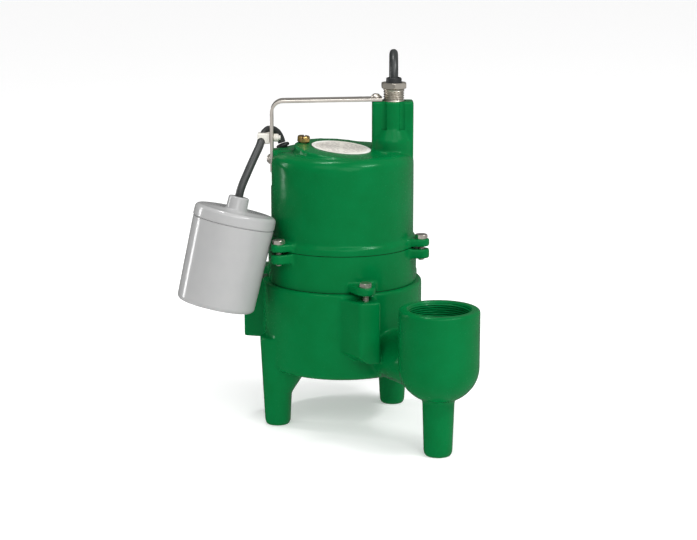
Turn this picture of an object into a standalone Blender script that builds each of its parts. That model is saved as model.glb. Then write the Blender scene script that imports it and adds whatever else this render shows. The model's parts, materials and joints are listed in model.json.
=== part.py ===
# Submersible sump pump with a tethered float switch.
# Metres, +Z up, feet on z = 0, discharge socket towards -Y and +X, float towards -X.
# The origin is the middle of the base of the pump's box, without the power lead.

import math

import bmesh
import bpy
from mathutils import Matrix, Vector

NAME = "submersible_sump_pump"

# Facets around a piece
FINE = 40
MEDIUM = 24
SMALL = 12

# Driving dimensions
AXIS_X = 0.01555  # motor axis from the origin
AXIS_Y = 0.04104
GAP = 0.0003  # between touching pieces
FACE_STEP = 0.0004  # keeps joined flat faces out of one plane

HOUSING_RADIUS = 0.0720
HOUSING_WALL = 0.0070
HOUSING_TOP = 0.2770
HOUSING_SHOULDER = 0.0120
HOUSING_BASE = 0.1834
HOUSING_RIM_RADIUS = 0.0747
HOUSING_RIM_TOP = 0.1890

PLATE_RADIUS = 0.0750
PLATE_TOP = 0.1822
PLATE_BASE = 0.1468
PLATE_SPIGOT_RADIUS = 0.0692

VOLUTE_RADIUS = 0.0805
VOLUTE_TOP = 0.1454
VOLUTE_BASE = 0.0575
CHAMBER_RADIUS = 0.0700
CHAMBER_FLOOR = 0.0660
INLET_RADIUS = 0.0255
BASE_TOP = 0.0664  # where the base with the inlet meets the bowl
ELBOW_START = 0.1120  # along the duct from the motor axis

DISCHARGE_X = 0.0930  # discharge socket from the motor axis
DISCHARGE_Y = -0.1330
SOCKET_RADIUS = 0.0390
SOCKET_TOP = 0.1450
SOCKET_BORE = 0.0292  # 2 inch pipe thread
DUCT_RADIUS = 0.0245
DUCT_BORE = 0.0170
DUCT_HEIGHT = 0.0820
DUCT_DIRECTION = Vector((0.517, -0.856, 0.0))

FOOT_RADIUS = 0.0130
FRONT_FOOT = (-0.0658, -0.0279)
BACK_FOOT = (0.0525, 0.0485)

UPPER_LUGS = (-18.5, 101.5, 221.5)  # degrees about the motor axis
UPPER_BOLT_CIRCLE = 0.0835
UPPER_EAR = 0.0081
LOWER_LUGS = (-75.0, 45.0, 165.0)
LOWER_BOLT_CIRCLE = 0.0890
BOLT_SHANK = 0.0031
BOLT_HOLE = 0.0035
BOLT_HEAD = 0.0064  # across corners, halved

COLUMN_X = 0.0505
COLUMN_TOP = 0.3270
COLUMN_BORE = 0.0110

STRAP_THICKNESS = 0.0030
STRAP_WIDTH = 0.0190
STRAP_FACE = -0.0692  # inner face of the strap's upright
STRAP_TOP = 0.3303
STRAP_FOOT = 0.2555
STRAP_END = 0.0400
STRAP_BEND = 0.0130

PAD_CENTRE = (-0.0020, -0.0130)
PAD_RADIUS = 0.0460
PAD_HEIGHT = 0.2816  # height of the sloping pad's plane at the motor axis
PAD_SLOPE_X = -0.0850
PAD_SLOPE_Y = 0.0550

SHAFT_RADIUS = 0.0075

LEAD_RADIUS = 0.0043
COIL_TURN_RADIUS = 0.0430  # to the middle of the turns
COIL_TURNS_WIDE = 3
COIL_LAYERS = 3
COIL_CENTRE = (0.0040, 0.2920)
COIL_BASE = 0.0016
COIL_WIDTH = COIL_TURNS_WIDE * 2 * LEAD_RADIUS
COIL_TOP = COIL_BASE + COIL_LAYERS * 2 * LEAD_RADIUS

TETHER_RADIUS = 0.0040
HINGE_TAPER = 0.65  # radius gained for each metre from the hinge
CLIP = Vector((-0.0792, 0.0010, 0.2895))
HINGE = Vector((-0.0824, -0.0095, 0.2832))

FLOAT_TOP = Vector((-0.1047, -0.0456, 0.2242))
FLOAT_BASE = Vector((-0.1262, -0.0550, 0.1295))
FLOAT_RADIUS = 0.0408
FLOAT_BASE_RADIUS = 0.0390
FLOAT_WALL = 0.0030
FLOAT_CAP = 0.0125
FLOAT_NECK = 0.0137

# The tether enters the housing's shoulder through a leaning rubber grommet.
TETHER_SEAT = Vector((-0.0595, 0.0215, 0.2760))
TETHER_TILT = Vector((-0.34, -0.02, 0.94)).normalized()

GLAND_X = 0.0516

LEAD_ROUTE = (
    (0.0516, 0.0000, 0.3330),
    (0.0516, 0.0000, 0.3400),
    (0.0516, 0.0000, 0.3460),
    (0.0517, 0.0024, 0.3568),
    (0.0518, 0.0109, 0.3669),
    (0.0519, 0.0255, 0.3715),
    (0.0520, 0.0390, 0.3676),
    (0.0523, 0.0570, 0.3470),
    (0.0528, 0.0730, 0.3180),
    (0.0532, 0.0850, 0.2770),
    (0.0536, 0.0930, 0.2250),
    (0.0539, 0.0980, 0.1600),
    (0.0540, 0.1010, 0.1100),
    (0.0541, 0.1045, 0.0760),
    (0.0543, 0.1130, 0.0470),
    (0.0546, 0.1300, 0.0230),
    (0.0550, 0.1560, 0.0095),
    (0.0558, 0.1870, 0.0052),
    (0.0562, 0.2170, 0.0050),
    (0.0560, 0.2400, 0.0056),
    (0.0556, 0.2608, 0.0059),
)

TETHER_ROUTE = (
    (-0.0824, -0.0095, 0.2832),
    (-0.0812, -0.0047, 0.2870),
    (-0.0795, 0.0018, 0.2910),
    (-0.0775, 0.0090, 0.2941),
    (-0.0743, 0.0153, 0.2955),
    (-0.0699, 0.0194, 0.2945),
    (-0.0656, 0.0213, 0.2910),
    (-0.0631, 0.0216, 0.2864),
    (-0.0614, 0.0214, 0.2814),
)

PLUG_LENGTH = 0.0400
PLUG_HALF_WIDTH = 0.0130
PLUG_RELIEF = 0.0220
PLUG_BACK = Vector((COIL_CENTRE[0] - 0.0040, COIL_CENTRE[1] - COIL_TURN_RADIUS, COIL_TOP + 0.0116))

COLOURS = {
    "green_enamel": ((0.002, 0.160, 0.045), 0.30, 0.0),
    "stainless": ((0.56, 0.54, 0.51), 0.30, 1.0),
    "zinc_steel": ((0.50, 0.47, 0.42), 0.35, 1.0),
    "brass": ((0.55, 0.38, 0.12), 0.28, 1.0),
    "black_rubber": ((0.02, 0.02, 0.02), 0.60, 0.0),
    "cord_jacket": ((0.025, 0.026, 0.027), 0.50, 0.0),
    "grey_plastic": ((0.50, 0.50, 0.49), 0.35, 0.0),
    "white_nylon": ((0.80, 0.79, 0.75), 0.45, 0.0),
    "plate_foil": ((0.75, 0.72, 0.68), 0.40, 0.3),
    "gasket": ((0.03, 0.03, 0.03), 0.80, 0.0),
    "lamination": ((0.20, 0.20, 0.21), 0.45, 1.0),
    "copper_winding": ((0.50, 0.19, 0.06), 0.40, 1.0),
    "ground_steel": ((0.60, 0.60, 0.60), 0.20, 1.0),
    "cast_iron": ((0.10, 0.10, 0.10), 0.65, 0.6),
    "seal_ceramic": ((0.85, 0.84, 0.80), 0.25, 0.0),
    "black_plastic": ((0.02, 0.02, 0.022), 0.40, 0.0),
}


def clear_scene():
    for item in list(bpy.data.objects):
        bpy.data.objects.remove(item, do_unlink=True)


def make_collection(name):
    collection = bpy.data.collections.new(name)
    bpy.context.scene.collection.children.link(collection)
    return collection


def make_material(name):
    colour, roughness, metallic = COLOURS[name]
    material = bpy.data.materials.get(name) or bpy.data.materials.new(name)
    material.use_nodes = True
    shader = material.node_tree.nodes["Principled BSDF"]
    shader.inputs["Base Color"].default_value = (*colour, 1.0)
    shader.inputs["Roughness"].default_value = roughness
    shader.inputs["Metallic"].default_value = metallic
    return material


clear_scene()
PARTS = make_collection(NAME)
TOOLS = make_collection(NAME + "_tools")


def make_empty(name, place, parent=None):
    empty = bpy.data.objects.new(name, None)
    PARTS.objects.link(empty)
    empty.parent = parent
    empty.location = place
    return empty


MOTOR_AXIS = make_empty("motor_axis", (AXIS_X, AXIS_Y, 0.0))


def add_object(name, mesh, material=None, parent=MOTOR_AXIS, smooth=True):
    """A named object from a mesh, or a hidden tool when it has no material."""
    item = bpy.data.objects.new(name, mesh)
    (PARTS if material else TOOLS).objects.link(item)
    item.parent = parent
    if material:
        mesh.materials.append(make_material(material))
    else:
        item.display_type = "WIRE"
        item.hide_render = True
    if smooth:
        mesh.shade_smooth()
        mesh.set_sharp_from_angle(angle=math.radians(35))
    return item


def mesh_of(name, bm):
    mesh = bpy.data.meshes.new(name)
    bm.to_mesh(mesh)
    bm.free()
    return mesh


def combine(item, tool, operation):
    """Joins a tool to an object, or cuts it out of it."""
    step = item.modifiers.new(tool.name, "BOOLEAN")
    step.operation = operation
    step.object = tool
    step.solver = "EXACT"


def cut(item, tool):
    combine(item, tool, "DIFFERENCE")


def turned(name, profile, material=None, at=(0.0, 0.0), steps=FINE, closed=False, parent=MOTOR_AXIS):
    """A profile of (radius, height) points, outer side downwards, turned about Z."""
    bm = bmesh.new()
    points = [bm.verts.new((radius, 0.0, height)) for radius, height in profile]
    for first, second in zip(points, points[1:]):
        bm.edges.new((first, second))
    if closed:
        bm.edges.new((points[-1], points[0]))
    item = add_object(name, mesh_of(name, bm), material, parent)
    item.location = (at[0], at[1], 0.0)
    screw = item.modifiers.new("turn", "SCREW")
    screw.steps = steps
    screw.render_steps = steps
    screw.use_merge_vertices = True
    screw.merge_threshold = 0.00005
    screw.use_smooth_shade = True
    return item


def ring(name, inner, outer, low, high, material, at=(0.0, 0.0), steps=MEDIUM, parent=MOTOR_AXIS):
    profile = [(outer, high), (outer, low), (inner, low), (inner, high)]
    return turned(name, profile, material, at, steps, True, parent)


def arc(centre, radius, start, end, count, stretch=1.0):
    """Points along an arc in a profile or outline, angles in degrees."""
    points = []
    for i in range(count + 1):
        angle = math.radians(start + (end - start) * i / count)
        across = centre[0] + radius * math.cos(angle)
        points.append((across, centre[1] + radius * stretch * math.sin(angle)))
    return points


def cone_mesh(radius_low, radius_high, low, high, at, segments, lean=(0.0, 0.0)):
    """A cylinder or cone, whose top may be set over to one side."""
    bm = bmesh.new()
    bmesh.ops.create_cone(
        bm,
        cap_ends=True,
        segments=segments,
        radius1=radius_low,
        radius2=radius_high,
        depth=high - low,
        matrix=Matrix.Translation((at[0], at[1], (low + high) / 2)),
    )
    top = [v for v in bm.verts if v.co.z > (low + high) / 2]
    bmesh.ops.translate(bm, verts=top, vec=(lean[0], lean[1], 0.0))
    return bm


def cylinder(name, radius, low, high, material=None, at=(0.0, 0.0), segments=MEDIUM, parent=MOTOR_AXIS):
    bm = cone_mesh(radius, radius, low, high, at, segments)
    return add_object(name, mesh_of(name, bm), material, parent)


def rod(name, radius, start, end, material=None, segments=MEDIUM, parent=MOTOR_AXIS, end_radius=None):
    """A round bar from one point to another."""
    start = Vector(start)
    along = Vector(end) - start
    bm = bmesh.new()
    bmesh.ops.create_cone(
        bm,
        cap_ends=True,
        segments=segments,
        radius1=radius,
        radius2=radius if end_radius is None else end_radius,
        depth=along.length,
        matrix=Matrix.Translation((0.0, 0.0, along.length / 2)),
    )
    bm.transform(Matrix.Translation(start) @ along.to_track_quat("Z", "Y").to_matrix().to_4x4())
    return add_object(name, mesh_of(name, bm), material, parent)


def box(name, low, high, material=None, parent=MOTOR_AXIS, turn=0.0, bevel=0.0):
    """A block between two corners, turned about Z, its upright edges rounded."""
    low = Vector(low)
    high = Vector(high)
    size = high - low
    bm = bmesh.new()
    bmesh.ops.create_cube(bm, size=1.0, matrix=Matrix.Diagonal((*size, 1.0)))
    if bevel:
        upright = [e for e in bm.edges if abs(e.verts[0].co.z - e.verts[1].co.z) > size.z / 2]
        bmesh.ops.bevel(bm, geom=upright, offset=bevel, segments=2, affect="EDGES", profile=0.5)
    bm.transform(Matrix.Translation((low + high) / 2))
    bm.transform(Matrix.Rotation(math.radians(turn), 4, "Z"))
    return add_object(name, mesh_of(name, bm), material, parent, smooth=bool(bevel))


def curve_mesh(name, curve):
    """The evaluated mesh of a curve, welded into one closed body."""
    item = bpy.data.objects.new(name, curve)
    TOOLS.objects.link(item)
    bpy.context.view_layer.update()
    graph = bpy.context.evaluated_depsgraph_get()
    mesh = bpy.data.meshes.new_from_object(item.evaluated_get(graph))
    bpy.data.objects.remove(item, do_unlink=True)
    bm = bmesh.new()
    bm.from_mesh(mesh)
    bmesh.ops.remove_doubles(bm, verts=bm.verts, dist=0.00001)
    bmesh.ops.recalc_face_normals(bm, faces=bm.faces)
    bm.to_mesh(mesh)
    bm.free()
    return mesh


def slab(name, outline, low, high, material=None, parent=MOTOR_AXIS):
    """A flat outline given in X and Y, from one height to another."""
    curve = bpy.data.curves.new(name, "CURVE")
    curve.dimensions = "2D"
    curve.fill_mode = "BOTH"
    curve.extrude = (high - low) / 2
    spline = curve.splines.new("POLY")
    spline.points.add(len(outline) - 1)
    for point, (x, y) in zip(spline.points, outline):
        point.co = (x, y, 0.0, 1.0)
    spline.use_cyclic_u = True
    mesh = curve_mesh(name, curve)
    mesh.transform(Matrix.Translation((0.0, 0.0, (low + high) / 2)))
    return add_object(name, mesh, material, parent)


def tube_curve(name, points, radius, resolution, hinge=None):
    """A round tube. It tapers towards a hinge, so that two can turn about it end to end."""
    curve = bpy.data.curves.new(name, "CURVE")
    curve.dimensions = "3D"
    curve.bevel_depth = radius
    curve.bevel_resolution = resolution
    curve.use_fill_caps = True
    spline = curve.splines.new("POLY")
    spline.points.add(len(points) - 1)
    for point, place in zip(spline.points, points):
        point.co = (*place, 1.0)
        if hinge is not None:
            point.radius = min(1.0, HINGE_TAPER * (place - hinge).length / radius)
    return curve


def tube(name, points, radius, material, parent=MOTOR_AXIS, resolution=2, hinge=None):
    """A round tube along the points, with flat closed ends."""
    curve = tube_curve(name, points, radius, resolution, hinge)
    curve.materials.append(make_material(material))
    item = bpy.data.objects.new(name, curve)
    PARTS.objects.link(item)
    item.parent = parent
    return item


def smooth_route(points, spacing):
    """Evenly spaced points on a smooth curve through the route's own points."""
    places = [Vector(p) for p in points]
    places.insert(0, 2 * places[0] - places[1])
    places.append(2 * places[-1] - places[-2])
    fine = []
    for i in range(1, len(places) - 2):
        a, b, c, d = places[i - 1 : i + 3]
        t1 = (b - a).length ** 0.5
        t2 = t1 + (c - b).length ** 0.5
        t3 = t2 + (d - c).length ** 0.5
        for step in range(40):
            t = t1 + (t2 - t1) * step / 40
            ab = a.lerp(b, t / t1)
            bc = b.lerp(c, (t - t1) / (t2 - t1))
            cd = c.lerp(d, (t - t2) / (t3 - t2))
            abc = ab.lerp(bc, t / t2)
            bcd = bc.lerp(cd, (t - t1) / (t3 - t1))
            fine.append(abc.lerp(bcd, (t - t1) / (t2 - t1)))
    fine.append(places[-2])
    lengths = [0.0]
    for first, second in zip(fine, fine[1:]):
        lengths.append(lengths[-1] + (second - first).length)
    count = max(2, round(lengths[-1] / spacing))
    even = [fine[0]]
    index = 0
    for k in range(1, count):
        target = lengths[-1] * k / count
        while lengths[index + 1] < target:
            index += 1
        share = (target - lengths[index]) / (lengths[index + 1] - lengths[index])
        even.append(fine[index].lerp(fine[index + 1], share))
    even.append(fine[-1])
    return even


def polar(radius, degrees):
    angle = math.radians(degrees)
    return (radius * math.cos(angle), radius * math.sin(angle))


def lug_outline(degrees, bolt_circle, ear_radius, root_radius, root_half):
    """A flange ear around a bolt, widening to its root in the flange."""
    local = [(root_radius, -root_half)]
    local += arc((bolt_circle, 0.0), ear_radius, -70.0, 70.0, 5)
    local.append((root_radius, root_half))
    turn = Matrix.Rotation(math.radians(degrees), 2)
    return [tuple(turn @ Vector(p)) for p in local]


def hex_mesh(across_corners, low, high, at):
    return cone_mesh(across_corners, across_corners, low, high, at, 6)


def bolt(name, degrees, bolt_circle, seat, tip, head_height, parent=MOTOR_AXIS):
    """A hexagon bolt standing in its lug."""
    at = polar(bolt_circle, degrees)
    head = mesh_of(name, hex_mesh(BOLT_HEAD, seat, seat + head_height, at))
    item = add_object(name, head, "zinc_steel", parent)
    item.data.set_sharp_from_angle(angle=math.radians(20))
    shank = cylinder(name + "_shank", BOLT_SHANK, tip, seat + head_height / 2, at=at, segments=SMALL)
    combine(item, shank, "UNION")
    return item


def pad_height(x, y):
    return PAD_HEIGHT + PAD_SLOPE_X * x + PAD_SLOPE_Y * y


def slope_matrix():
    """Carries a flat piece at z = 0 on to the sloping pad."""
    normal = Vector((-PAD_SLOPE_X, -PAD_SLOPE_Y, 1.0)).normalized()
    return normal.to_track_quat("Z", "Y").to_matrix().to_4x4()


def on_pad(item, x, y):
    """Lays a piece made about the origin on the sloping pad."""
    item.data.transform(Matrix.Translation((x, y, pad_height(x, y))) @ slope_matrix())
    return item


# Castings


def motor_housing():
    shoulder = HOUSING_RADIUS - HOUSING_SHOULDER
    profile = [(0.0, HOUSING_TOP)]
    profile += arc((shoulder, HOUSING_TOP - HOUSING_SHOULDER), HOUSING_SHOULDER, 90, 0, 5)
    profile += [(HOUSING_RADIUS, HOUSING_RIM_TOP + 0.002), (HOUSING_RIM_RADIUS, HOUSING_RIM_TOP)]
    profile += [(HOUSING_RIM_RADIUS, HOUSING_BASE), (0.0, HOUSING_BASE)]
    housing = turned("motor_housing", profile, "green_enamel", steps=FINE)

    pad = cylinder("pad_form", PAD_RADIUS, 0.262, 0.300, at=PAD_CENTRE, segments=FINE)
    planer = box("pad_planer", (-0.08, -0.08, 0.0), (0.08, 0.08, 0.04))
    planer.data.transform(Matrix.Translation((0.0, 0.0, PAD_HEIGHT)) @ slope_matrix())
    cut(pad, planer)
    combine(housing, pad, "UNION")

    boss = box("strap_boss_form", (-0.0692, -0.0115, 0.2440), (-0.0480, 0.0115, 0.2780), bevel=0.004)
    combine(housing, boss, "UNION")
    flat = box("strap_flat_cut", (-0.0800, -0.0130, 0.2400), (STRAP_FACE + GAP, 0.0130, 0.3000))
    cut(housing, flat)

    foot = [(0.0, 0.2985), (0.0150, 0.2985), (0.0207, 0.2880), (0.0207, 0.2500), (0.0, 0.2500)]
    combine(housing, turned("column_foot_form", foot, at=(COLUMN_X, 0.0), steps=MEDIUM), "UNION")
    low = (COLUMN_X - 0.0207, -0.0105, 0.2600)
    high = (COLUMN_X + 0.0207, 0.0105, COLUMN_TOP)
    combine(housing, box("column_block_form", low, high, bevel=0.003), "UNION")
    core = cylinder("column_core_form", 0.0142, 0.2610, COLUMN_TOP - 0.0004, at=(COLUMN_X, 0.0))
    combine(housing, core, "UNION")

    for degrees in UPPER_LUGS:
        outline = lug_outline(degrees, UPPER_BOLT_CIRCLE, UPPER_EAR, 0.0685, 0.0130)
        ear = slab(f"housing_lug_form_{degrees}", outline, HOUSING_BASE + FACE_STEP, 0.1918)
        combine(housing, ear, "UNION")

    inner = HOUSING_RADIUS - HOUSING_WALL
    cavity = [(0.0, 0.2685), (0.0163, 0.2685), (0.0163, 0.2585), (0.0210, 0.2585), (0.0210, 0.2690)]
    cavity += [(0.0560, 0.2690), (inner, 0.2600), (inner, 0.1800), (0.0, 0.1800)]
    cut(housing, turned("motor_cavity_cut", cavity, steps=FINE))

    bore = [(0.0, 0.3300), (COLUMN_BORE, 0.3300), (COLUMN_BORE, 0.3050), (0.0065, 0.3000)]
    bore += [(0.0065, 0.2650), (0.0, 0.2650)]
    cut(housing, turned("gland_bore_cut", bore, at=(0.0516, 0.0), steps=MEDIUM))
    for degrees in UPPER_LUGS:
        at = polar(UPPER_BOLT_CIRCLE, degrees)
        hole = cylinder(f"housing_lug_hole_{degrees}", BOLT_HOLE, 0.178, 0.198, at=at, segments=SMALL)
        cut(housing, hole)
    cut(housing, rod("strap_side_hole", 0.0028, (-0.074, 0.0, 0.268), (-0.057, 0.0, 0.268), segments=SMALL))
    cut(housing, cylinder("strap_top_hole", 0.0028, 0.312, 0.330, at=(0.0338, 0.0), segments=SMALL))
    cut(housing, cylinder("oil_hole", 0.0060, 0.262, 0.300, at=(-0.0390, 0.0), segments=MEDIUM))
    low = TETHER_SEAT - 0.016 * TETHER_TILT
    cut(housing, rod("tether_hole", 0.0046, low, TETHER_SEAT + 0.010 * TETHER_TILT))
    return housing


def seal_plate():
    profile = [(0.0, PLATE_TOP), (PLATE_RADIUS, PLATE_TOP), (PLATE_RADIUS, PLATE_BASE)]
    profile += [(PLATE_SPIGOT_RADIUS, PLATE_BASE), (PLATE_SPIGOT_RADIUS, 0.1410), (0.0560, 0.1410)]
    profile += [(0.0500, PLATE_BASE), (0.0, PLATE_BASE)]
    plate = turned("seal_plate", profile, "green_enamel", steps=FINE)
    for degrees in UPPER_LUGS:
        outline = lug_outline(degrees, UPPER_BOLT_CIRCLE, UPPER_EAR, 0.0685, 0.0130)
        combine(plate, slab(f"plate_upper_form_{degrees}", outline, 0.1724, PLATE_TOP - FACE_STEP), "UNION")
    for degrees in LOWER_LUGS:
        outline = lug_outline(degrees, LOWER_BOLT_CIRCLE, 0.0098, 0.0700, 0.0160)
        combine(plate, slab(f"plate_lower_form_{degrees}", outline, 0.1478, 0.1553), "UNION")
    pocket = [(0.0, 0.1850), (0.0630, 0.1850), (0.0630, 0.1720), (0.0203, 0.1720), (0.0203, 0.1580)]
    pocket += [(0.0086, 0.1580), (0.0086, 0.1530), (0.0143, 0.1530), (0.0143, 0.1440), (0.0, 0.1440)]
    cut(plate, turned("plate_pocket_cut", pocket, steps=FINE))
    for degrees in UPPER_LUGS:
        at = polar(UPPER_BOLT_CIRCLE, degrees)
        hole = cylinder(f"plate_upper_hole_{degrees}", BOLT_HOLE, 0.168, 0.186, at=at, segments=SMALL)
        cut(plate, hole)
    for degrees in LOWER_LUGS:
        at = polar(LOWER_BOLT_CIRCLE, degrees)
        hole = cylinder(f"plate_lower_hole_{degrees}", BOLT_HOLE, 0.144, 0.160, at=at, segments=SMALL)
        cut(plate, hole)
    return plate


def volute_leg(name, foot, inward):
    """A tapered leg that runs up the wall of the volute, with a gusset under it."""
    rounding = 0.0035
    bm = cone_mesh(FOOT_RADIUS, 0.0175, rounding, 0.0920, foot, MEDIUM)
    leg = add_object(name, mesh_of(name, bm))
    toe = cone_mesh(FOOT_RADIUS - rounding, FOOT_RADIUS, 0.0, rounding, foot, MEDIUM)
    combine(leg, add_object(name + "_toe", mesh_of(name + "_toe", toe)), "UNION")
    gusset = cone_mesh(FOOT_RADIUS - 0.0005, 0.0220, 0.0320, 0.0620, foot, MEDIUM, inward)
    combine(leg, add_object(name + "_gusset", mesh_of(name + "_gusset", gusset)), "UNION")
    return leg


def volute_body(name):
    """The whole volute casting, from its feet to the socket's rim."""
    profile = [(0.0, VOLUTE_TOP), (VOLUTE_RADIUS, VOLUTE_TOP)]
    profile += arc((VOLUTE_RADIUS - 0.0085, VOLUTE_BASE + 0.0085), 0.0085, 0, -90, 4)
    profile.append((0.0, VOLUTE_BASE))
    volute = turned(name, profile, "green_enamel", steps=FINE)

    for degrees in LOWER_LUGS:
        low = (0.0700, -0.0117, 0.0805)
        high = (0.1025, 0.0117, 0.1418)
        column = box(f"bolt_column_form_{degrees}", low, high, turn=degrees, bevel=0.007)
        combine(volute, column, "UNION")
    combine(volute, volute_leg("front_leg_form", FRONT_FOOT, (0.0088, 0.0037)), "UNION")
    combine(volute, volute_leg("back_leg_form", BACK_FOOT, (-0.0066, -0.0061)), "UNION")

    socket_axis = Vector((DISCHARGE_X, DISCHARGE_Y, DUCT_HEIGHT))
    duct_start = socket_axis - 0.100 * DUCT_DIRECTION
    combine(volute, rod("duct_form", DUCT_RADIUS, duct_start, socket_axis, segments=MEDIUM), "UNION")
    at = (DISCHARGE_X, DISCHARGE_Y)
    cup = [(0.0, SOCKET_TOP)]
    cup += arc((SOCKET_RADIUS - 0.003, SOCKET_TOP - 0.003), 0.003, 90, 0, 2)
    cup += arc((0.0, 0.0880), SOCKET_RADIUS, 0, -64, 6, 0.90)
    cup += [(0.0155, 0.0540), (0.0140, 0.0035), (0.0105, 0.0), (0.0, 0.0)]
    combine(volute, turned("socket_form", cup, at=at, steps=FINE), "UNION")

    chamber = [(0.0, 0.1500), (CHAMBER_RADIUS, 0.1500), (CHAMBER_RADIUS, CHAMBER_FLOOR)]
    chamber += [(INLET_RADIUS, CHAMBER_FLOOR), (INLET_RADIUS, 0.0500), (0.0, 0.0500)]
    cut(volute, turned("chamber_cut", chamber, steps=FINE))
    duct_bore = rod("duct_cut", DUCT_BORE, duct_start - 0.004 * DUCT_DIRECTION, socket_axis, segments=MEDIUM)
    cut(volute, duct_bore)
    bore = [(0.0, 0.1480), (0.0322, 0.1480), (0.0312, 0.1445), (SOCKET_BORE, 0.1420), (SOCKET_BORE, 0.1100)]
    bore += [(0.0270, 0.1080), (0.0270, 0.0900), (0.0225, 0.0740), (0.0140, 0.0665), (0.0, 0.0640)]
    cut(volute, turned("socket_cut", bore, at=at, steps=FINE))
    for degrees in LOWER_LUGS:
        at = polar(LOWER_BOLT_CIRCLE, degrees)
        hole = cylinder(f"volute_hole_{degrees}", BOLT_HOLE, 0.1180, 0.1440, at=at, segments=SMALL)
        cut(volute, hole)
    return volute


def volute():
    """The casting as three closed pieces: the bowl, its base with the inlet, and the discharge elbow."""
    turn = math.degrees(math.atan2(DUCT_DIRECTION.y, DUCT_DIRECTION.x))
    pieces = (
        ("volute_casing", (-0.1500, -0.1500, BASE_TOP + GAP), (ELBOW_START - GAP, 0.1500, 0.1600)),
        ("suction_base", (-0.1500, -0.1500, -0.0100), (ELBOW_START - GAP, 0.1500, BASE_TOP)),
        ("discharge_elbow", (ELBOW_START, -0.1500, -0.0100), (0.2500, 0.1500, 0.1600)),
    )
    for name, low, high in pieces:
        combine(volute_body(name), box(name + "_form", low, high, turn=turn), "INTERSECT")


def gaskets():
    ring("housing_gasket", 0.0655, 0.0735, PLATE_TOP + GAP, HOUSING_BASE - GAP, "gasket", steps=FINE)
    ring("volute_gasket", 0.0705, 0.0745, VOLUTE_TOP + GAP, PLATE_BASE - GAP, "gasket", steps=FINE)


def flange_bolts():
    for letter, degrees in zip("abc", UPPER_LUGS):
        bolt(f"housing_bolt_{letter}", degrees, UPPER_BOLT_CIRCLE, 0.1918 + GAP, 0.1700, 0.0040)
    for letter, degrees in zip("abc", LOWER_LUGS):
        bolt(f"volute_bolt_{letter}", degrees, LOWER_BOLT_CIRCLE, 0.1553 + GAP, 0.1190, 0.0040)


# Fittings on top


def handle_strap():
    """A flat bar bent once, upright at the left and screwed to the column at the right."""
    outer_face = STRAP_FACE - STRAP_THICKNESS
    low_face = STRAP_TOP - STRAP_THICKNESS
    inner_bend = STRAP_BEND - STRAP_THICKNESS
    centre = (outer_face + STRAP_BEND, STRAP_TOP - STRAP_BEND)
    outline = [(STRAP_FACE, STRAP_FOOT), (outer_face, STRAP_FOOT)]
    outline += arc(centre, STRAP_BEND, 180, 90, 7)
    outline += [(STRAP_END, STRAP_TOP), (STRAP_END, low_face)]
    outline += arc(centre, inner_bend, 90, 180, 7)
    strap = slab("handle_strap", outline, -STRAP_WIDTH / 2, STRAP_WIDTH / 2, "stainless")
    strap.data.transform(Matrix.Rotation(math.radians(90), 4, "X"))
    cut(strap, rod("strap_foot_hole", 0.0028, (-0.080, 0.0, 0.268), (-0.060, 0.0, 0.268), segments=SMALL))
    # an odd number of facets keeps this hole's corners out of line with the foot hole's
    cut(strap, rod("strap_clip_hole", 0.0028, (-0.079, 0.0, CLIP.z), (-0.061, 0.0, CLIP.z), segments=13))
    cut(strap, cylinder("strap_end_hole", 0.0028, 0.320, 0.340, at=(0.0338, 0.0), segments=SMALL))
    return strap


def pan_screw(name, seat, along):
    """A pan-head screw whose head sits on a face and whose shank runs along a direction."""
    along = Vector(along)
    seat = Vector(seat)
    head = rod(name, 0.0050, seat, seat - 0.0034 * along, "zinc_steel", 20, end_radius=0.0036)
    shank = rod(name + "_shank", 0.0025, seat - 0.001 * along, seat + 0.0120 * along, segments=SMALL)
    combine(head, shank, "UNION")
    return head


def strap_screws():
    pan_screw("strap_screw_side", (STRAP_FACE - STRAP_THICKNESS - GAP, 0.0, 0.268), (1.0, 0.0, 0.0))
    pan_screw("strap_screw_top", (0.0338, 0.0, STRAP_TOP + GAP), (0.0, 0.0, -1.0))


def oil_plug():
    profile = [(0.0, 0.0062), (0.0056, 0.0062), (0.0063, 0.0050), (0.0063, 0.0004), (0.0, 0.0004)]
    plug = turned("oil_fill_plug", profile, "brass", steps=MEDIUM)
    plug.location = (-0.0390, 0.0, pad_height(-0.0390, 0.0) + GAP)
    plug.rotation_euler = slope_matrix().to_euler()
    stem = cylinder("oil_plug_stem", 0.0046, -0.0080, 0.0020, segments=SMALL, parent=plug)
    combine(plug, stem, "UNION")
    slot = box("oil_plug_slot", (-0.0080, -0.0008, 0.0044), (0.0080, 0.0008, 0.0100), parent=plug)
    cut(plug, slot)


def name_plate():
    """A blank oval rating plate, laid on the sloping pad."""
    outline = arc((0.0, 0.0), 0.0280, 0, 354, 59, 1.10)
    plate = slab("name_plate", outline, GAP, 0.0011, "plate_foil")
    on_pad(plate, -0.0010, -0.0120)


def cord_gland():
    """A threaded body with a hexagon nut that squeezes a rubber bush on to the lead."""
    at = (GLAND_X, 0.0)
    body = [(0.0106, 0.3394), (0.0106, 0.3060), (0.0060, 0.3060), (0.0060, 0.3300)]
    body += [(0.0083, 0.3320), (0.0083, 0.3394)]
    turned("gland_body", body, "stainless", at, 32, True)
    nut = add_object("gland_nut", mesh_of("gland_nut", hex_mesh(0.0138, 0.3397, 0.3452, at)), "stainless")
    nut.data.set_sharp_from_angle(angle=math.radians(20))
    cut(nut, cylinder("gland_nut_hole", 0.0082, 0.335, 0.350, at=at, segments=MEDIUM))
    bush = [(0.0078, 0.3500), (0.0078, 0.3325), (LEAD_RADIUS + GAP, 0.3325), (LEAD_RADIUS + GAP, 0.3440)]
    bush.append((LEAD_RADIUS + 0.0016, 0.3500))
    turned("gland_bush", bush, "black_rubber", at, 24, True)


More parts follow.
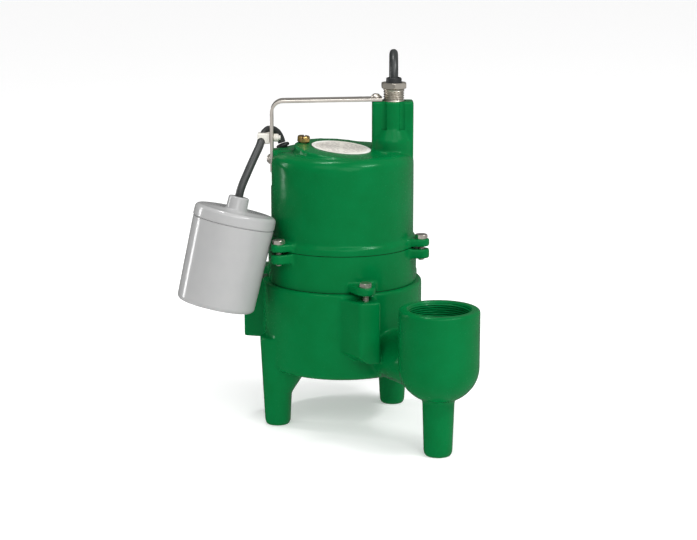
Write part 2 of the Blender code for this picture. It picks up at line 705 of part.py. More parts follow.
def power_lead():
    """The lead rises from the gland, bends back over the housing and runs to its coil."""
    points = smooth_route(LEAD_ROUTE, 0.0095)
    lead = tube("power_lead", points, LEAD_RADIUS, "cord_jacket")
    return lead


# Motor and rotor, about the motor axis


def motor_internals():
    ring("stator_core", 0.0360, 0.0645, 0.1900, 0.2320, "lamination", steps=FINE)
    ring("winding_top", 0.0390, 0.0600, 0.2323, 0.2440, "copper_winding", steps=MEDIUM)
    ring("winding_bottom", 0.0390, 0.0600, 0.1760, 0.1897, "copper_winding", steps=MEDIUM)
    ring("upper_bearing_outer", 0.0113, 0.0160, 0.2592, 0.2680, "ground_steel", steps=MEDIUM)
    ring("lower_bearing_outer", 0.0143, 0.0200, 0.1583, 0.1700, "ground_steel", steps=MEDIUM)
    ring("seal_seat", 0.0088, 0.0140, 0.1470, 0.1527, "seal_ceramic", steps=MEDIUM)
    rod("run_capacitor", 0.0110, (-0.0220, -0.0420, 0.2562), (0.0220, -0.0420, 0.2562), "black_plastic", 24)
    box("thermal_protector", (-0.0120, 0.0400, 0.2443), (0.0120, 0.0540, 0.2530), "black_plastic")


def rotor():
    spindle = make_empty("rotor_axis", (0.0, 0.0, 0.0), MOTOR_AXIS)
    shaft = [(0.0, 0.2660), (0.0058, 0.2660), (0.0058, 0.2580), (SHAFT_RADIUS, 0.2580)]
    shaft += [(SHAFT_RADIUS, 0.1270), (0.0055, 0.1270), (0.0055, 0.0880), (0.0, 0.0880)]
    turned("motor_shaft", shaft, "ground_steel", steps=MEDIUM, parent=spindle)
    core = SHAFT_RADIUS + GAP
    ring("rotor_core", core, 0.0355, 0.1900, 0.2320, "lamination", steps=FINE, parent=spindle)
    ring("upper_bearing_inner", 0.0061, 0.0109, 0.2592, 0.2680, "ground_steel", steps=MEDIUM, parent=spindle)
    ring("lower_bearing_inner", core, 0.0139, 0.1583, 0.1700, "ground_steel", steps=MEDIUM, parent=spindle)
    ring("rotary_seal", core, 0.0132, 0.1378, 0.1466, "black_rubber", steps=MEDIUM, parent=spindle)
    turns = 4
    per_turn = 10
    points = []
    for i in range(turns * per_turn + 1):
        x, y = polar(0.0104, 360 * i / per_turn)
        points.append((x, y, 0.1285 + 0.0080 * i / (turns * per_turn)))
    tube("seal_spring", points, 0.0007, "stainless", parent=spindle, resolution=1)
    impeller(spindle)
    hexagon = mesh_of("impeller_nut", hex_mesh(0.0092, 0.0912, 0.0997, (0.0, 0.0)))
    nut = add_object("impeller_nut", hexagon, "zinc_steel", spindle)
    cut(nut, cylinder("impeller_nut_hole", 0.0058, 0.080, 0.110, segments=SMALL, parent=spindle))


def impeller(spindle):
    """A shroud disc on a hub, with four straight vanes under it."""
    profile = [(0.0, 0.1267), (0.0125, 0.1267), (0.0150, 0.1225), (0.0590, 0.1225), (0.0590, 0.1185)]
    profile += [(0.0130, 0.1160), (0.0120, 0.1000), (0.0, 0.1000)]
    wheel = turned("impeller", profile, "cast_iron", steps=FINE, parent=spindle)
    for i in range(4):
        low = (0.0080, -0.0020, 0.1010)
        high = (0.0570, 0.0020, 0.1200)
        vane = box(f"vane_form_{i}", low, high, parent=spindle, turn=90 * i)
        combine(wheel, vane, "UNION")
    cut(wheel, cylinder("impeller_bore", 0.0058, 0.090, 0.135, segments=24, parent=spindle))


# Float switch


def cord_clip():
    """A nylon saddle on the strap, holding the tether, with a stud through the strap."""
    face = STRAP_FACE - STRAP_THICKNESS - GAP
    low = CLIP - Vector((0.0058, 0.0085, 0.0055))
    clip = box("cord_clip", low, (face, CLIP.y + 0.0060, CLIP.z + 0.0050), "white_nylon")
    stud = rod("clip_stud", 0.0024, (face - 0.0020, 0.0, CLIP.z), (-0.0620, 0.0, CLIP.z), segments=SMALL)
    combine(clip, stud, "UNION")
    bore = smooth_route(((-0.0880, -0.0230, 0.2735),) + TETHER_ROUTE, 0.0050)
    bore_mesh = curve_mesh("clip_bore", tube_curve("clip_bore", bore, TETHER_RADIUS + 2 * GAP, 2))
    cut(clip, add_object("clip_bore", bore_mesh))
    back = (STRAP_FACE + GAP, 0.0, CLIP.z)
    retainer = rod("clip_retainer", 0.0040, back, (-0.0640, 0.0, CLIP.z), "white_nylon", 12)
    cut(retainer, rod("clip_retainer_hole", 0.0027, (-0.072, 0.0, CLIP.z), (-0.060, 0.0, CLIP.z), segments=SMALL))


def tether_fixed():
    """The tether from its hinge point, through the clip and behind the strap to the grommet."""
    points = smooth_route(TETHER_ROUTE, 0.0050)
    points[0] = points[0].lerp(points[1], 0.12)
    tube("tether_upper", points, TETHER_RADIUS, "cord_jacket", hinge=HINGE)
    top = TETHER_SEAT + 0.0042 * TETHER_TILT
    base = TETHER_SEAT - 0.0100 * TETHER_TILT
    grommet = rod("tether_grommet", 0.0043, base, top, "black_rubber", 20)
    collar = rod("grommet_collar", 0.0068, TETHER_SEAT + 0.0015 * TETHER_TILT, top, segments=SMALL)
    combine(grommet, collar, "UNION")


def float_switch():
    pivot = make_empty("float_hinge", HINGE, MOTOR_AXIS)
    up = (FLOAT_TOP - FLOAT_BASE).normalized()
    height = (FLOAT_TOP - FLOAT_BASE).length
    frame = make_empty("float_frame", FLOAT_BASE - HINGE, pivot)
    frame.rotation_mode = "QUATERNION"
    frame.rotation_quaternion = up.to_track_quat("Z", "Y")
    split = height - FLOAT_CAP
    split_radius = FLOAT_BASE_RADIUS + (FLOAT_RADIUS - FLOAT_BASE_RADIUS) * split / height
    inner = split_radius - FLOAT_WALL
    shell = [(0.0, FLOAT_WALL), (inner - 0.0060, FLOAT_WALL), (inner - 0.0020, 0.0070)]
    shell += [(inner, split - GAP), (split_radius, split - GAP)]
    shell += arc((FLOAT_BASE_RADIUS - 0.0050, 0.0050), 0.0050, 0, -90, 3)
    shell.append((0.0, 0.0))
    turned("float_shell", shell, "grey_plastic", steps=FINE, parent=frame)

    neck_top = height + FLOAT_NECK
    cap = [(0.0045, neck_top), (0.0098, neck_top), (0.0106, neck_top - 0.0015), (0.0106, height + 0.0006)]
    cap += [(FLOAT_RADIUS - 0.0042, height)]
    cap += arc((FLOAT_RADIUS - 0.0042, height - 0.0042), 0.0042, 60, 0, 2)
    cap += [(split_radius, split), (inner, split), (inner, height - FLOAT_WALL)]
    cap.append((0.0045, height - FLOAT_WALL))
    turned("float_cap", cap, "grey_plastic", steps=FINE, closed=True, parent=frame)

    capsule = [(0.0, 0.0240), (0.0092, 0.0240), (0.0092, 0.0620)]
    capsule += [(0.0112, 0.0620), (0.0112, 0.0220), (0.0, 0.0220)]
    turned("switch_tube", capsule, "white_nylon", steps=MEDIUM, parent=frame)
    box("snap_switch", (-0.0070, -0.0100, 0.0625), (0.0070, 0.0100, 0.0780), "black_plastic", frame)
    ball_frame = make_empty("ball_slide", (0.0, 0.0, 0.0330), frame)
    bm = bmesh.new()
    bmesh.ops.create_uvsphere(bm, u_segments=SMALL, v_segments=10, radius=0.0084)
    add_object("switch_ball", mesh_of("switch_ball", bm), "ground_steel", ball_frame)

    to_pivot = Matrix.Translation(-HINGE)
    neck = FLOAT_BASE + neck_top * up
    route = (
        HINGE + Vector((-0.0004, -0.0009, -0.0007)),
        Vector((-0.0873, -0.0215, 0.2733)),
        Vector((-0.0928, -0.0335, 0.2618)),
        neck + 0.0075 * up,
        neck - 0.0060 * up,
    )
    points = [to_pivot @ p for p in smooth_route(route, 0.0090)]
    tube("tether_lower", points, TETHER_RADIUS, "cord_jacket", pivot, hinge=Vector((0.0, 0.0, 0.0)))


# The far end of the lead, on its coil


def on_coil(radius, degrees, height):
    x, y = polar(radius, degrees)
    return Vector((COIL_CENTRE[0] + x, COIL_CENTRE[1] + y, height))


def lead_coil():
    inner = COIL_TURN_RADIUS - COIL_WIDTH / 2
    outer = COIL_TURN_RADIUS + COIL_WIDTH / 2
    ring("lead_coil", inner, outer, COIL_BASE, COIL_TOP, "cord_jacket", COIL_CENTRE, FINE)


def coil_tie():
    """A band once around the turns at the back of the coil."""
    clear = COIL_WIDTH / 2 + 0.0006
    band = 0.0010
    y = COIL_CENTRE[1] + COIL_TURN_RADIUS
    x = COIL_CENTRE[0]
    low = (x - 0.0030, y - clear - band, COIL_BASE - GAP - band)
    high = (x + 0.0030, y + clear + band, COIL_TOP + GAP + band)
    tie = box("coil_tie", low, high, "black_plastic")
    low = (x - 0.0100, y - clear, COIL_BASE - GAP)
    high = (x + 0.0100, y + clear, COIL_TOP + GAP)
    cut(tie, box("coil_tie_cut", low, high))


def lead_tail():
    """The last stretch of the lead, lying on the coil and rising into the plug."""
    rest = COIL_TOP + LEAD_RADIUS + GAP
    route = [on_coil(COIL_TURN_RADIUS, degrees, rest) for degrees in (175, 195, 215, 232)]
    route.append(on_coil(COIL_TURN_RADIUS + 0.0010, 248, rest + 0.0020))
    route.append(PLUG_BACK + Vector((-0.0090, 0.0, 0.0)))
    route.append(PLUG_BACK)
    tube("lead_tail", smooth_route(route, 0.0090), LEAD_RADIUS, "cord_jacket")


def plug():
    """A moulded three-pin plug with a tapered relief, lying on the coil."""
    back = PLUG_BACK + Vector((GAP, 0.0, 0.0))
    body_start = back + Vector((PLUG_RELIEF, 0.0, 0.0))
    body_end = body_start + Vector((PLUG_LENGTH - PLUG_RELIEF / 2, 0.0, 0.0))
    half = PLUG_HALF_WIDTH
    bm = bmesh.new()
    bmesh.ops.create_cube(bm, size=1.0)
    bm.transform(Matrix.Diagonal(((body_end - body_start).length, 2 * half, 0.0226, 1.0)))
    along = [e for e in bm.edges if abs(e.verts[0].co.x - e.verts[1].co.x) > 0.01]
    bmesh.ops.bevel(bm, geom=along, offset=0.0070, segments=3, affect="EDGES", profile=0.5)
    bm.transform(Matrix.Translation((body_start + body_end) / 2))
    body = add_object("plug_body", mesh_of("plug_body", bm), "black_plastic")
    relief = rod("plug_relief_form", 0.0056, back, body_start + Vector((0.002, 0.0, 0.0)), end_radius=0.0095)
    combine(body, relief, "UNION")
    face = body_end.x + GAP
    for name, shift in (("plug_blade_left", -0.00635), ("plug_blade_right", 0.00635)):
        low = (face, body_end.y + shift - 0.00075, body_end.z - 0.0005)
        high = (face + 0.0165, body_end.y + shift + 0.00075, body_end.z + 0.0058)
        box(name, low, high, "brass")
    pin = Vector((face, body_end.y, body_end.z - 0.0070))
    rod("plug_ground_pin", 0.0024, pin, pin + Vector((0.0190, 0.0, 0.0)), "brass", SMALL)


motor_housing()
seal_plate()
volute()
gaskets()
flange_bolts()
handle_strap()
strap_screws()
oil_plug()
name_plate()
cord_gland()
power_lead()
lead_coil()
coil_tie()
lead_tail()
plug()
motor_internals()
rotor()
cord_clip()
tether_fixed()
float_switch()
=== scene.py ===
# Submersible sump pump with a tethered float: the finished look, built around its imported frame.
# Metres, +Z up, feet on z = 0. The discharge socket is at the front right and the float at the left.

import json
import math

import bpy
from mathutils import Matrix, Vector

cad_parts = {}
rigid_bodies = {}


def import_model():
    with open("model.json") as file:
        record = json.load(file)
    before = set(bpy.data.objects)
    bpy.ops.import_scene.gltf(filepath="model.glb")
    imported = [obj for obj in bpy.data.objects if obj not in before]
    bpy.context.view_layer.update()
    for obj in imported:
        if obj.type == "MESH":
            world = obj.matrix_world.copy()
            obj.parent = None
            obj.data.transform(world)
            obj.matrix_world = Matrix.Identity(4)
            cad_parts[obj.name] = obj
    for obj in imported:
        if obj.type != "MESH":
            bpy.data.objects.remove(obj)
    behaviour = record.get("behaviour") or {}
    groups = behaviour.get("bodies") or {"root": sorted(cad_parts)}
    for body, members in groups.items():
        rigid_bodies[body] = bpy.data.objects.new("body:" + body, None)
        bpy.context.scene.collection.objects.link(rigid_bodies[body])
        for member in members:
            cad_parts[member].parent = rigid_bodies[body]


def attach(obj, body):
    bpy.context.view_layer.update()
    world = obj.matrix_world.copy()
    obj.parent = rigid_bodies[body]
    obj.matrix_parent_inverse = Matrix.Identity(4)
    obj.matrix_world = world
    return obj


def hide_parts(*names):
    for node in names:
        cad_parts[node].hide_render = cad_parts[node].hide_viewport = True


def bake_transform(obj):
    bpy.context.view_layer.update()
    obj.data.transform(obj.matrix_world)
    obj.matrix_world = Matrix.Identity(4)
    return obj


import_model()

for spare in [item for item in bpy.data.objects if item.name in ("Cube", "Light", "Camera")]:
    bpy.data.objects.remove(spare, do_unlink=True)
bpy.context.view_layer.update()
scene = bpy.context.scene
motorAxis = Vector((0.01555, 0.04104, 0.0))  # every piece below is measured from the motor axis
weldWithin = 0.000002  # points closer than this become one
clear = 0.0003  # between pieces that would otherwise touch

# Camera

cameraView = {"place": (0.0063, -1.927, 0.583), "down": 12.57, "lens": 100.0}


def setCamera():
    tilt = math.radians(90 - cameraView["down"])
    bpy.ops.object.camera_add(location=motorAxis + Vector(cameraView["place"]), rotation=(tilt, 0, 0))
    camera = bpy.context.object
    camera.data.lens = cameraView["lens"]
    camera.data.clip_end = 60
    scene.camera = camera


# Working by hand: selection, forms, cuts


def fresh():
    # object mode with nothing selected
    if bpy.context.mode != "OBJECT":
        bpy.ops.object.mode_set(mode="OBJECT")
    bpy.ops.object.select_all(action="DESELECT")


def wake(piece):
    # only this piece is selected and active
    fresh()
    piece.select_set(True)
    bpy.context.view_layer.objects.active = piece


def mode(name):
    bpy.ops.object.mode_set(mode=name)


def editAll(piece):
    # edit mode with everything selected
    wake(piece)
    mode("EDIT")
    bpy.ops.mesh.select_all(action="SELECT")


def weld():
    bpy.ops.mesh.remove_doubles(threshold=weldWithin)


def turnBy(degrees, axis="Z"):
    return Matrix.Rotation(math.radians(degrees), 4, axis)


def named(name):
    piece = bpy.context.object
    piece.name = name
    piece.data.name = name
    bpy.ops.object.transform_apply()
    return piece


def pick(piece, kind, test):
    # goes into edit mode with the faces or edges that pass the test selected
    wake(piece)
    mode("EDIT")
    bpy.ops.mesh.select_mode(type=kind)
    bpy.ops.mesh.select_all(action="DESELECT")
    mode("OBJECT")
    if kind == "EDGE":
        points = piece.data.vertices
        for edge in piece.data.edges:
            a, b = (points[i].co for i in edge.vertices)
            edge.select = test(a, b)
    else:
        for face in piece.data.polygons:
            face.select = test(face.center, face.normal)
    mode("EDIT")


def roundEdges(piece, size, steps, test=lambda a, b: True):
    pick(piece, "EDGE", test)
    bpy.ops.mesh.bevel(offset=size, segments=steps, affect="EDGES")
    wake(piece)


def isUpright(a, b):
    return abs(a.z - b.z) > 3 * math.hypot(a.x - b.x, a.y - b.y)


def faceOut(piece):
    editAll(piece)
    weld()
    bpy.ops.mesh.normals_make_consistent(inside=False)
    mode("OBJECT")


def bead(centre, radius, start, end, steps):
    # points round part of a circle, for a profile
    points = []
    for i in range(steps + 1):
        angle = math.radians(start + (end - start) * i / steps)
        points.append((centre[0] + radius * math.cos(angle), centre[1] + radius * math.sin(angle)))
    return points


def turned(name, profile, steps=96, at=(0, 0), ring=False):
    # a circle extruded along its profile of (radius, height); a ring's profile ends where it starts
    fresh()
    radius, height = profile[0]
    bpy.ops.mesh.primitive_circle_add(vertices=steps, radius=radius, location=(*at, height))
    piece = named(name)
    mode("EDIT")
    for newRadius, newHeight in profile[1:] + (profile[:1] if ring else []):
        bpy.ops.mesh.extrude_edges_move(TRANSFORM_OT_translate={"value": (0, 0, newHeight - height)})
        grow = newRadius / radius
        bpy.ops.transform.resize(value=(grow, grow, 1), center_override=(*at, newHeight))
        radius, height = newRadius, newHeight
    bpy.ops.mesh.select_all(action="SELECT")
    weld()
    bpy.ops.mesh.fill_holes(sides=0)
    faceOut(piece)
    return piece


def block(name, low, high, turn=0, roundUpright=0, roundAll=0, steps=4):
    # a cube with its edges rounded, turned about the motor axis
    fresh()
    low, high = Vector(low), Vector(high)
    bpy.ops.mesh.primitive_cube_add(size=1, location=(low + high) / 2, scale=high - low)
    piece = named(name)
    if roundUpright:
        roundEdges(piece, roundUpright, steps, isUpright)
    if roundAll:
        roundEdges(piece, roundAll, steps)
    piece.data.transform(turnBy(turn))
    return piece


def facing(way):
    # turns what is made along Z towards a direction
    return way.to_track_quat("Z", "Y").to_matrix().to_4x4()


def rod(name, start, end, radius, endRadius=None):
    # a round bar between two points, whose far end may be another size
    fresh()
    start, end = Vector(start), Vector(end)
    along = end - start
    far = radius if endRadius is None else endRadius
    bpy.ops.mesh.primitive_cone_add(vertices=48, radius1=radius, radius2=far, depth=along.length)
    piece = named(name)
    piece.data.transform(Matrix.Translation((start + end) / 2) @ facing(along))
    return piece


def plate(name, outline, low, high):
    # a filled outline in X and Y, extruded from one height to the other
    fresh()
    bpy.ops.mesh.primitive_circle_add(vertices=len(outline), radius=0.01, fill_type="NGON",
                        location=(0, 0, low))
    piece = named(name)
    for point, (x, y) in zip(piece.data.vertices, outline):
        point.co = (x, y, low)
    editAll(piece)
    bpy.ops.mesh.extrude_region_move(TRANSFORM_OT_translate={"value": (0, 0, high - low)})
    faceOut(piece)
    return piece


def polar(radius, degrees):
    angle = math.radians(degrees)
    return (radius * math.cos(angle), radius * math.sin(angle))


def lug(name, degrees, circle, form, low, high):
    # a round ear and its broad root, wrapped in one hull
    fresh()
    tip, root, rootHalf = form
    middle = (circle, 0, (low + high) / 2)
    bpy.ops.mesh.primitive_cylinder_add(vertices=48, radius=tip, depth=high - low, location=middle)
    piece = named(name)
    join(piece, [block(name + "Root", (root - 0.004, -rootHalf, low), (root, rootHalf, high))])
    editAll(piece)
    bpy.ops.mesh.convex_hull()
    mode("OBJECT")
    piece.data.transform(turnBy(degrees))
    return piece


def join(piece, others):
    wake(piece)
    for other in others:
        other.select_set(True)
    bpy.ops.object.join()
    return piece


def apply(piece, kind, **settings):
    wake(piece)
    tool = piece.modifiers.new(kind, kind)
    for key, value in settings.items():
        setattr(tool, key, value)
    bpy.ops.object.modifier_apply(modifier=tool.name)
    return piece


def cut(piece, tool, operation="DIFFERENCE"):
    apply(piece, "BOOLEAN", object=tool, operation=operation, solver="EXACT")
    bpy.data.objects.remove(tool, do_unlink=True)
    return piece


def slice(piece, place, normal):
    # takes away what is beyond a plane and closes the face
    editAll(piece)
    bpy.ops.mesh.bisect(plane_co=place, plane_no=normal, use_fill=True, clear_outer=True)
    mode("OBJECT")
    return piece


def cast(piece, forms, grain, softness):
    # melts overlapping forms into one casting with soft inside corners
    join(piece, forms)
    apply(piece, "REMESH", mode="VOXEL", voxel_size=grain * 1.0)
    apply(piece, "SMOOTH", factor=0.5, iterations=max(2, softness // (1)))
    return piece


def threadOn(piece, radius, pitch, depth, low, high, at=(0, 0)):
    # moves the wall's points in and out along a helix
    for point in piece.data.vertices:
        x, y = point.co.x - at[0], point.co.y - at[1]
        r = math.hypot(x, y)
        if abs(r - radius) > depth * 0.2 or not low <= point.co.z <= high:
            continue
        turn = (point.co.z - low) / pitch - math.atan2(y, x) / (2 * math.pi)
        wave = abs(2 * (turn % 1) - 1)
        fade = min(1, (point.co.z - low) / pitch, (high - point.co.z) / pitch)
        grow = (r - depth * fade * min(1, 1.25 * wave)) / r
        point.co.x, point.co.y = at[0] + x * grow, at[1] + y * grow
    return piece


def smoothed(piece, degrees=35):
    wake(piece)
    bpy.ops.object.shade_smooth_by_angle(angle=math.radians(degrees))
    return piece


def settle(piece, body, slot, finish, *nodes, angle=35):
    # carries the piece from the motor axis to its place in the frame, for good
    piece.data.transform(Matrix.Translation(motorAxis))
    smoothed(piece, angle)
    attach(piece, body)
    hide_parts(*nodes)
    piece.data.materials.clear()
    piece.data.materials.append(finishes[finish])


def copyOf(piece, name, place=None):
    # a copy with its own mesh
    twin = piece.copy()
    twin.data = piece.data.copy()
    twin.name = twin.data.name = name
    bpy.context.collection.objects.link(twin)
    if place is not None:
        twin.data.transform(place)
    return twin


# Finishes


class Value:
    # a socket in a material, with plain arithmetic
    def __init__(self, finish, socket):
        self.finish, self.socket = finish, socket

    def maths(self, operation, *others):
        return self.finish.node("Math", {"operation": operation}, self, *others)

    def __add__(self, other):
        return self.maths("ADD", other)

    def __sub__(self, other):
        return self.maths("SUBTRACT", other)

    def __rsub__(self, other):
        return self.maths("MULTIPLY", -1).maths("ADD", other)

    def __mul__(self, other):
        return self.maths("MULTIPLY", other)

    def __gt__(self, other):
        return self.maths("GREATER_THAN", other)

    __radd__ = __add__
    __rmul__ = __mul__


class Finish:
    def __init__(self, name, **shader):
        self.material = bpy.data.materials.new(name)
        self.material.use_nodes = True
        self.tree = self.material.node_tree
        self.shader = self.tree.nodes["Principled BSDF"]
        for socket, value in shader.items():
            self.give(self.shader.inputs[socket.replace("_", " ")], value)

    def give(self, socket, value):
        if isinstance(value, Value):
            self.tree.links.new(value.socket, socket)
        elif hasattr(socket.default_value, "__len__") and not hasattr(value, "__len__"):
            socket.default_value = [value] * len(socket.default_value)
        elif hasattr(value, "__len__") and len(value) < len(socket.default_value):
            socket.default_value = (*value, 1.0)
        else:
            socket.default_value = value

    def node(self, kind, settings=None, *inputs, out=0, **sockets):
        # settings come first; inputs fill the sockets in order, sockets by name
        node = self.tree.nodes.new("ShaderNode" + kind)
        for key, value in (settings or {}).items():
            if key == "stops":
                for stop, (place, tone) in zip(node.color_ramp.elements, value):
                    stop.position, stop.color = place, (tone, tone, tone, 1)
            else:
                setattr(node, key, value)
        for socket, value in zip(node.inputs, inputs):
            self.give(socket, value)
        for key, value in sockets.items():
            self.give(node.inputs[key], value)
        return Value(self, node.outputs[out])

    def place(self, stretch=(1, 1, 1), turn=(0, 0, 0), shift=(0, 0, 0)):
        coordinates = self.node("TexCoord", out=3)
        return self.node("Mapping", None, coordinates, tuple(shift), tuple(math.radians(a) for a in turn),
                         tuple(stretch))

    def noise(self, scale, detail=3, rough=0.5, **place):
        return self.node("TexNoise", None, Vector=self.place(**place), Scale=scale, Detail=detail,
                         Roughness=rough)

    def ramp(self, value, low, high, toneLow=0.0, toneHigh=1.0):
        return self.node("MapRange", None, value, low, high, toneLow, toneHigh)

    def mix(self, share, first, second):
        node = self.tree.nodes.new("ShaderNodeMix")
        node.data_type = "RGBA"
        for socket, value in zip((node.inputs[0], node.inputs[6], node.inputs[7]), (share, first, second)):
            self.give(socket, value)
        return Value(self, node.outputs[2])

    def wear(self, *heights):
        # heights in metres, each a wave on the surface
        total = heights[0]
        for height in heights[1:]:
            total = total + height
        bump = self.node("Bump", None, Strength=1.0, Distance=1.0, Height=total)
        self.give(self.shader.inputs["Normal"], bump)

    def colour(self, value):
        self.give(self.shader.inputs["Base Color"], value)

    def rough(self, value):
        self.give(self.shader.inputs["Roughness"], value)


def enamelFinish(name="greenEnamel", wave=0.00022):
    finish = Finish(name, Specular_IOR_Level=0.5, Specular_Tint=(0.4, 1.0, 0.7), IOR=1.22,
                    Coat_Weight=0.05, Coat_Roughness=0.06)
    lump = finish.noise(95, 2)
    peel = finish.noise(620, 3, 0.55)
    pit = finish.noise(1900, 2)
    deep, light = (0.0, 0.132, 0.03), (0.0, 0.15, 0.037)
    finish.colour(finish.mix(finish.ramp(finish.noise(38, 4), 0.3, 0.7), deep, light))
    finish.rough(finish.ramp(peel, 0.3, 0.75, 0.17, 0.3))
    finish.wear(lump * wave, peel * 0.00005, pit * 0.000012)
    return finish.material


def metalFinish(name, colour, dark, rough, grain=(1, 1, 1), scale=300, depth=0.00001):
    # a metal with a grain drawn along its long side
    finish = Finish(name, Metallic=1.0)
    streak = finish.noise(scale, 4, 0.6, stretch=grain)
    patch = finish.noise(140, 3)
    finish.colour(finish.mix(finish.ramp(streak * 0.6 + patch * 0.4, 0.35, 0.65), dark, colour))
    finish.rough(finish.ramp(streak, 0.25, 0.75, rough - 0.07, rough + 0.09))
    finish.wear(streak * depth, patch * (depth * 3))
    return finish.material


def plasticFinish(name, colour, dark, rough, scale=260, depth=0.00001, level=0.5, patchScale=60):
    # a moulded plastic or rubber: a faint cloud in its colour and a fine skin
    finish = Finish(name, Specular_IOR_Level=level)
    cloud = finish.noise(patchScale, 3)
    skin = finish.noise(scale * 6, 3, 0.6)
    finish.colour(finish.mix(finish.ramp(cloud, 0.3, 0.7), dark, colour))
    finish.rough(finish.ramp(skin * 0.7 + cloud * 0.3, 0.3, 0.7, rough - 0.06, rough + 0.08))
    finish.wear(skin * depth, cloud * (depth * 8))
    return finish.material


def jacketFinish(name, colour, dark, rough, lay=0.0):
    # a cord's jacket: a fine skin along the cord and, if asked, the lay of its cores
    finish = Finish(name, Specular_IOR_Level=0.5)
    along = finish.node("TexCoord", out=2)
    still = (0, 0, 0)
    scuffPlace = finish.node("Mapping", None, along, still, still, (220, 9, 1))
    scuff = finish.node("TexNoise", None, Vector=scuffPlace, Scale=1.0, Detail=3.0)
    skin = finish.noise(1500, 3)
    finish.colour(finish.mix(finish.ramp(scuff, 0.35, 0.7), dark, colour))
    finish.rough(finish.ramp(scuff * 0.6 + skin * 0.4, 0.3, 0.7, rough - 0.07, rough + 0.1))
    heights = [skin * 0.000012, scuff * 0.00003]
    if lay:
        twistPlace = finish.node("Mapping", None, along, still, still, (lay, 1.5, 1))
        twist = finish.node("TexWave", {"bands_direction": "DIAGONAL"}, Vector=twistPlace, Scale=1.0,
                            Distortion=0.6)
        heights.append(twist * 0.0001)
    finish.wear(*heights)
    return finish.material


def plateFinish():
    # a pale printed plate: blank grey rows in two columns, and a bare rim
    finish = Finish("ratingPlate", Metallic=0.0, Specular_IOR_Level=0.4, Roughness=0.4)
    across, along = 1 / namePlate["across"], 1 / namePlate["along"]
    x, y = namePlate["place"][0] + motorAxis.x, namePlate["place"][1] + motorAxis.y
    inPlate = finish.place(stretch=(across, along, 0), shift=(-x * across, -y * along, 0))
    fromMiddle = finish.node("VectorMath", {"operation": "LENGTH"}, inPlate, out=1)
    side = finish.node("SeparateXYZ", None, inPlate, out=0)
    height = finish.node("SeparateXYZ", None, inPlate, out=1)
    row = (height * namePlate["rows"]).maths("FRACT") > 0.55
    words = finish.node("Mapping", None, inPlate, (0, 0, 0), (0, 0, 0), (9, namePlate["rows"], 0))
    word = finish.node("TexNoise", None, Vector=words, Scale=1.0, Detail=1.0) > 0.47
    column = side.maths("ABSOLUTE") > 0.06
    printed = row * word * column * (0.8 - fromMiddle).maths("GREATER_THAN", 0.0)
    rim = fromMiddle > 0.93
    paper = finish.mix(finish.ramp(finish.noise(500, 3), 0.35, 0.65), (0.72, 0.69, 0.63), (0.8, 0.77, 0.7))
    finish.colour(finish.mix(rim, finish.mix(printed, paper, (0.44, 0.4, 0.38)), (0.88, 0.87, 0.83)))
    finish.wear(finish.noise(420, 2) * 0.00002)
    return finish.material


namePlate = {
    "place": (-0.001, -0.012), "across": 0.0278, "along": 0.0304, "span": (0.0003, 0.0008), "rows": 7,
    "rim": ((0.0013, 0.0), (0.0004, 0.0002)),  # each step inwards and down
}

metals = {  # colour, dark patches, roughness, stretch of the grain, its scale and depth
    "stainless": ("drawnStainless", (0.82, 0.77, 0.7), (0.68, 0.63, 0.57), 0.34, (12, 160, 12), 6.0),
    "nickel": ("platedBrass", (0.6, 0.56, 0.49), (0.5, 0.46, 0.4), 0.36, (1, 1, 6), 160, 0.000003),
    "zinc": ("zincPlate", (0.74, 0.69, 0.62), (0.54, 0.5, 0.45), 0.34, (1, 1, 1), 420, 0.000012),
    "brass": ("machinedBrass", (0.62, 0.43, 0.16), (0.4, 0.26, 0.09), 0.27, (1, 1, 8), 240),
    "ground": ("groundSteel", (0.62, 0.62, 0.63), (0.48, 0.48, 0.5), 0.22, (1, 1, 20), 160),
    "lamination": ("stackedSteel", (0.3, 0.3, 0.32), (0.16, 0.16, 0.17), 0.45, (1, 1, 40), 60, 0.00003),
    "copper": ("varnishedCopper", (0.6, 0.24, 0.08), (0.36, 0.12, 0.04), 0.38, (1, 1, 14), 90, 0.00004),
    "iron": ("castIron", (0.2, 0.2, 0.2), (0.09, 0.085, 0.08), 0.62, (1, 1, 1), 500, 0.00003),
}
plastics = {  # colour, dark patches, roughness, scale and depth of the skin, gloss
    "rubber": ("mouldedRubber", (0.016, 0.018, 0.019), (0.008, 0.009, 0.01), 0.5, 300, 0.00001, 0.4),
    "gasket": ("gasketSheet", (0.03, 0.028, 0.026), (0.014, 0.013, 0.012), 0.75, 300, 0.00002, 0.3),
    "greyPlastic": ("floatPlastic", (0.405, 0.405, 0.403), (0.387, 0.388, 0.389), 0.16, 180, 0.000003, 0.5),
    "nylon": ("whiteNylon", (0.8, 0.78, 0.72), (0.7, 0.68, 0.62), 0.42, 220, 0.00001, 0.45),
    "blackPlastic": ("blackPlastic", (0.02, 0.02, 0.022), (0.011, 0.011, 0.012), 0.42, 260, 0.00002, 0.45),
    "ceramic": ("lappedCeramic", (0.84, 0.82, 0.77), (0.78, 0.76, 0.71), 0.24, 160),
}
jackets = {  # colour, dark patches, roughness, lay of the cores
    "jacket": ("cordJacket", (0.03, 0.034, 0.034), (0.017, 0.02, 0.02), 0.36, 60),
    "tether": ("tetherJacket", (0.04, 0.043, 0.042), (0.024, 0.027, 0.027), 0.45, 0.0),
}
finishes = {"enamel": enamelFinish(), "foil": plateFinish()}
for maker, table in ((metalFinish, metals), (plasticFinish, plastics), (jacketFinish, jackets)):
    for key, values in table.items():
        finishes[key] = maker(*values)

# Cords

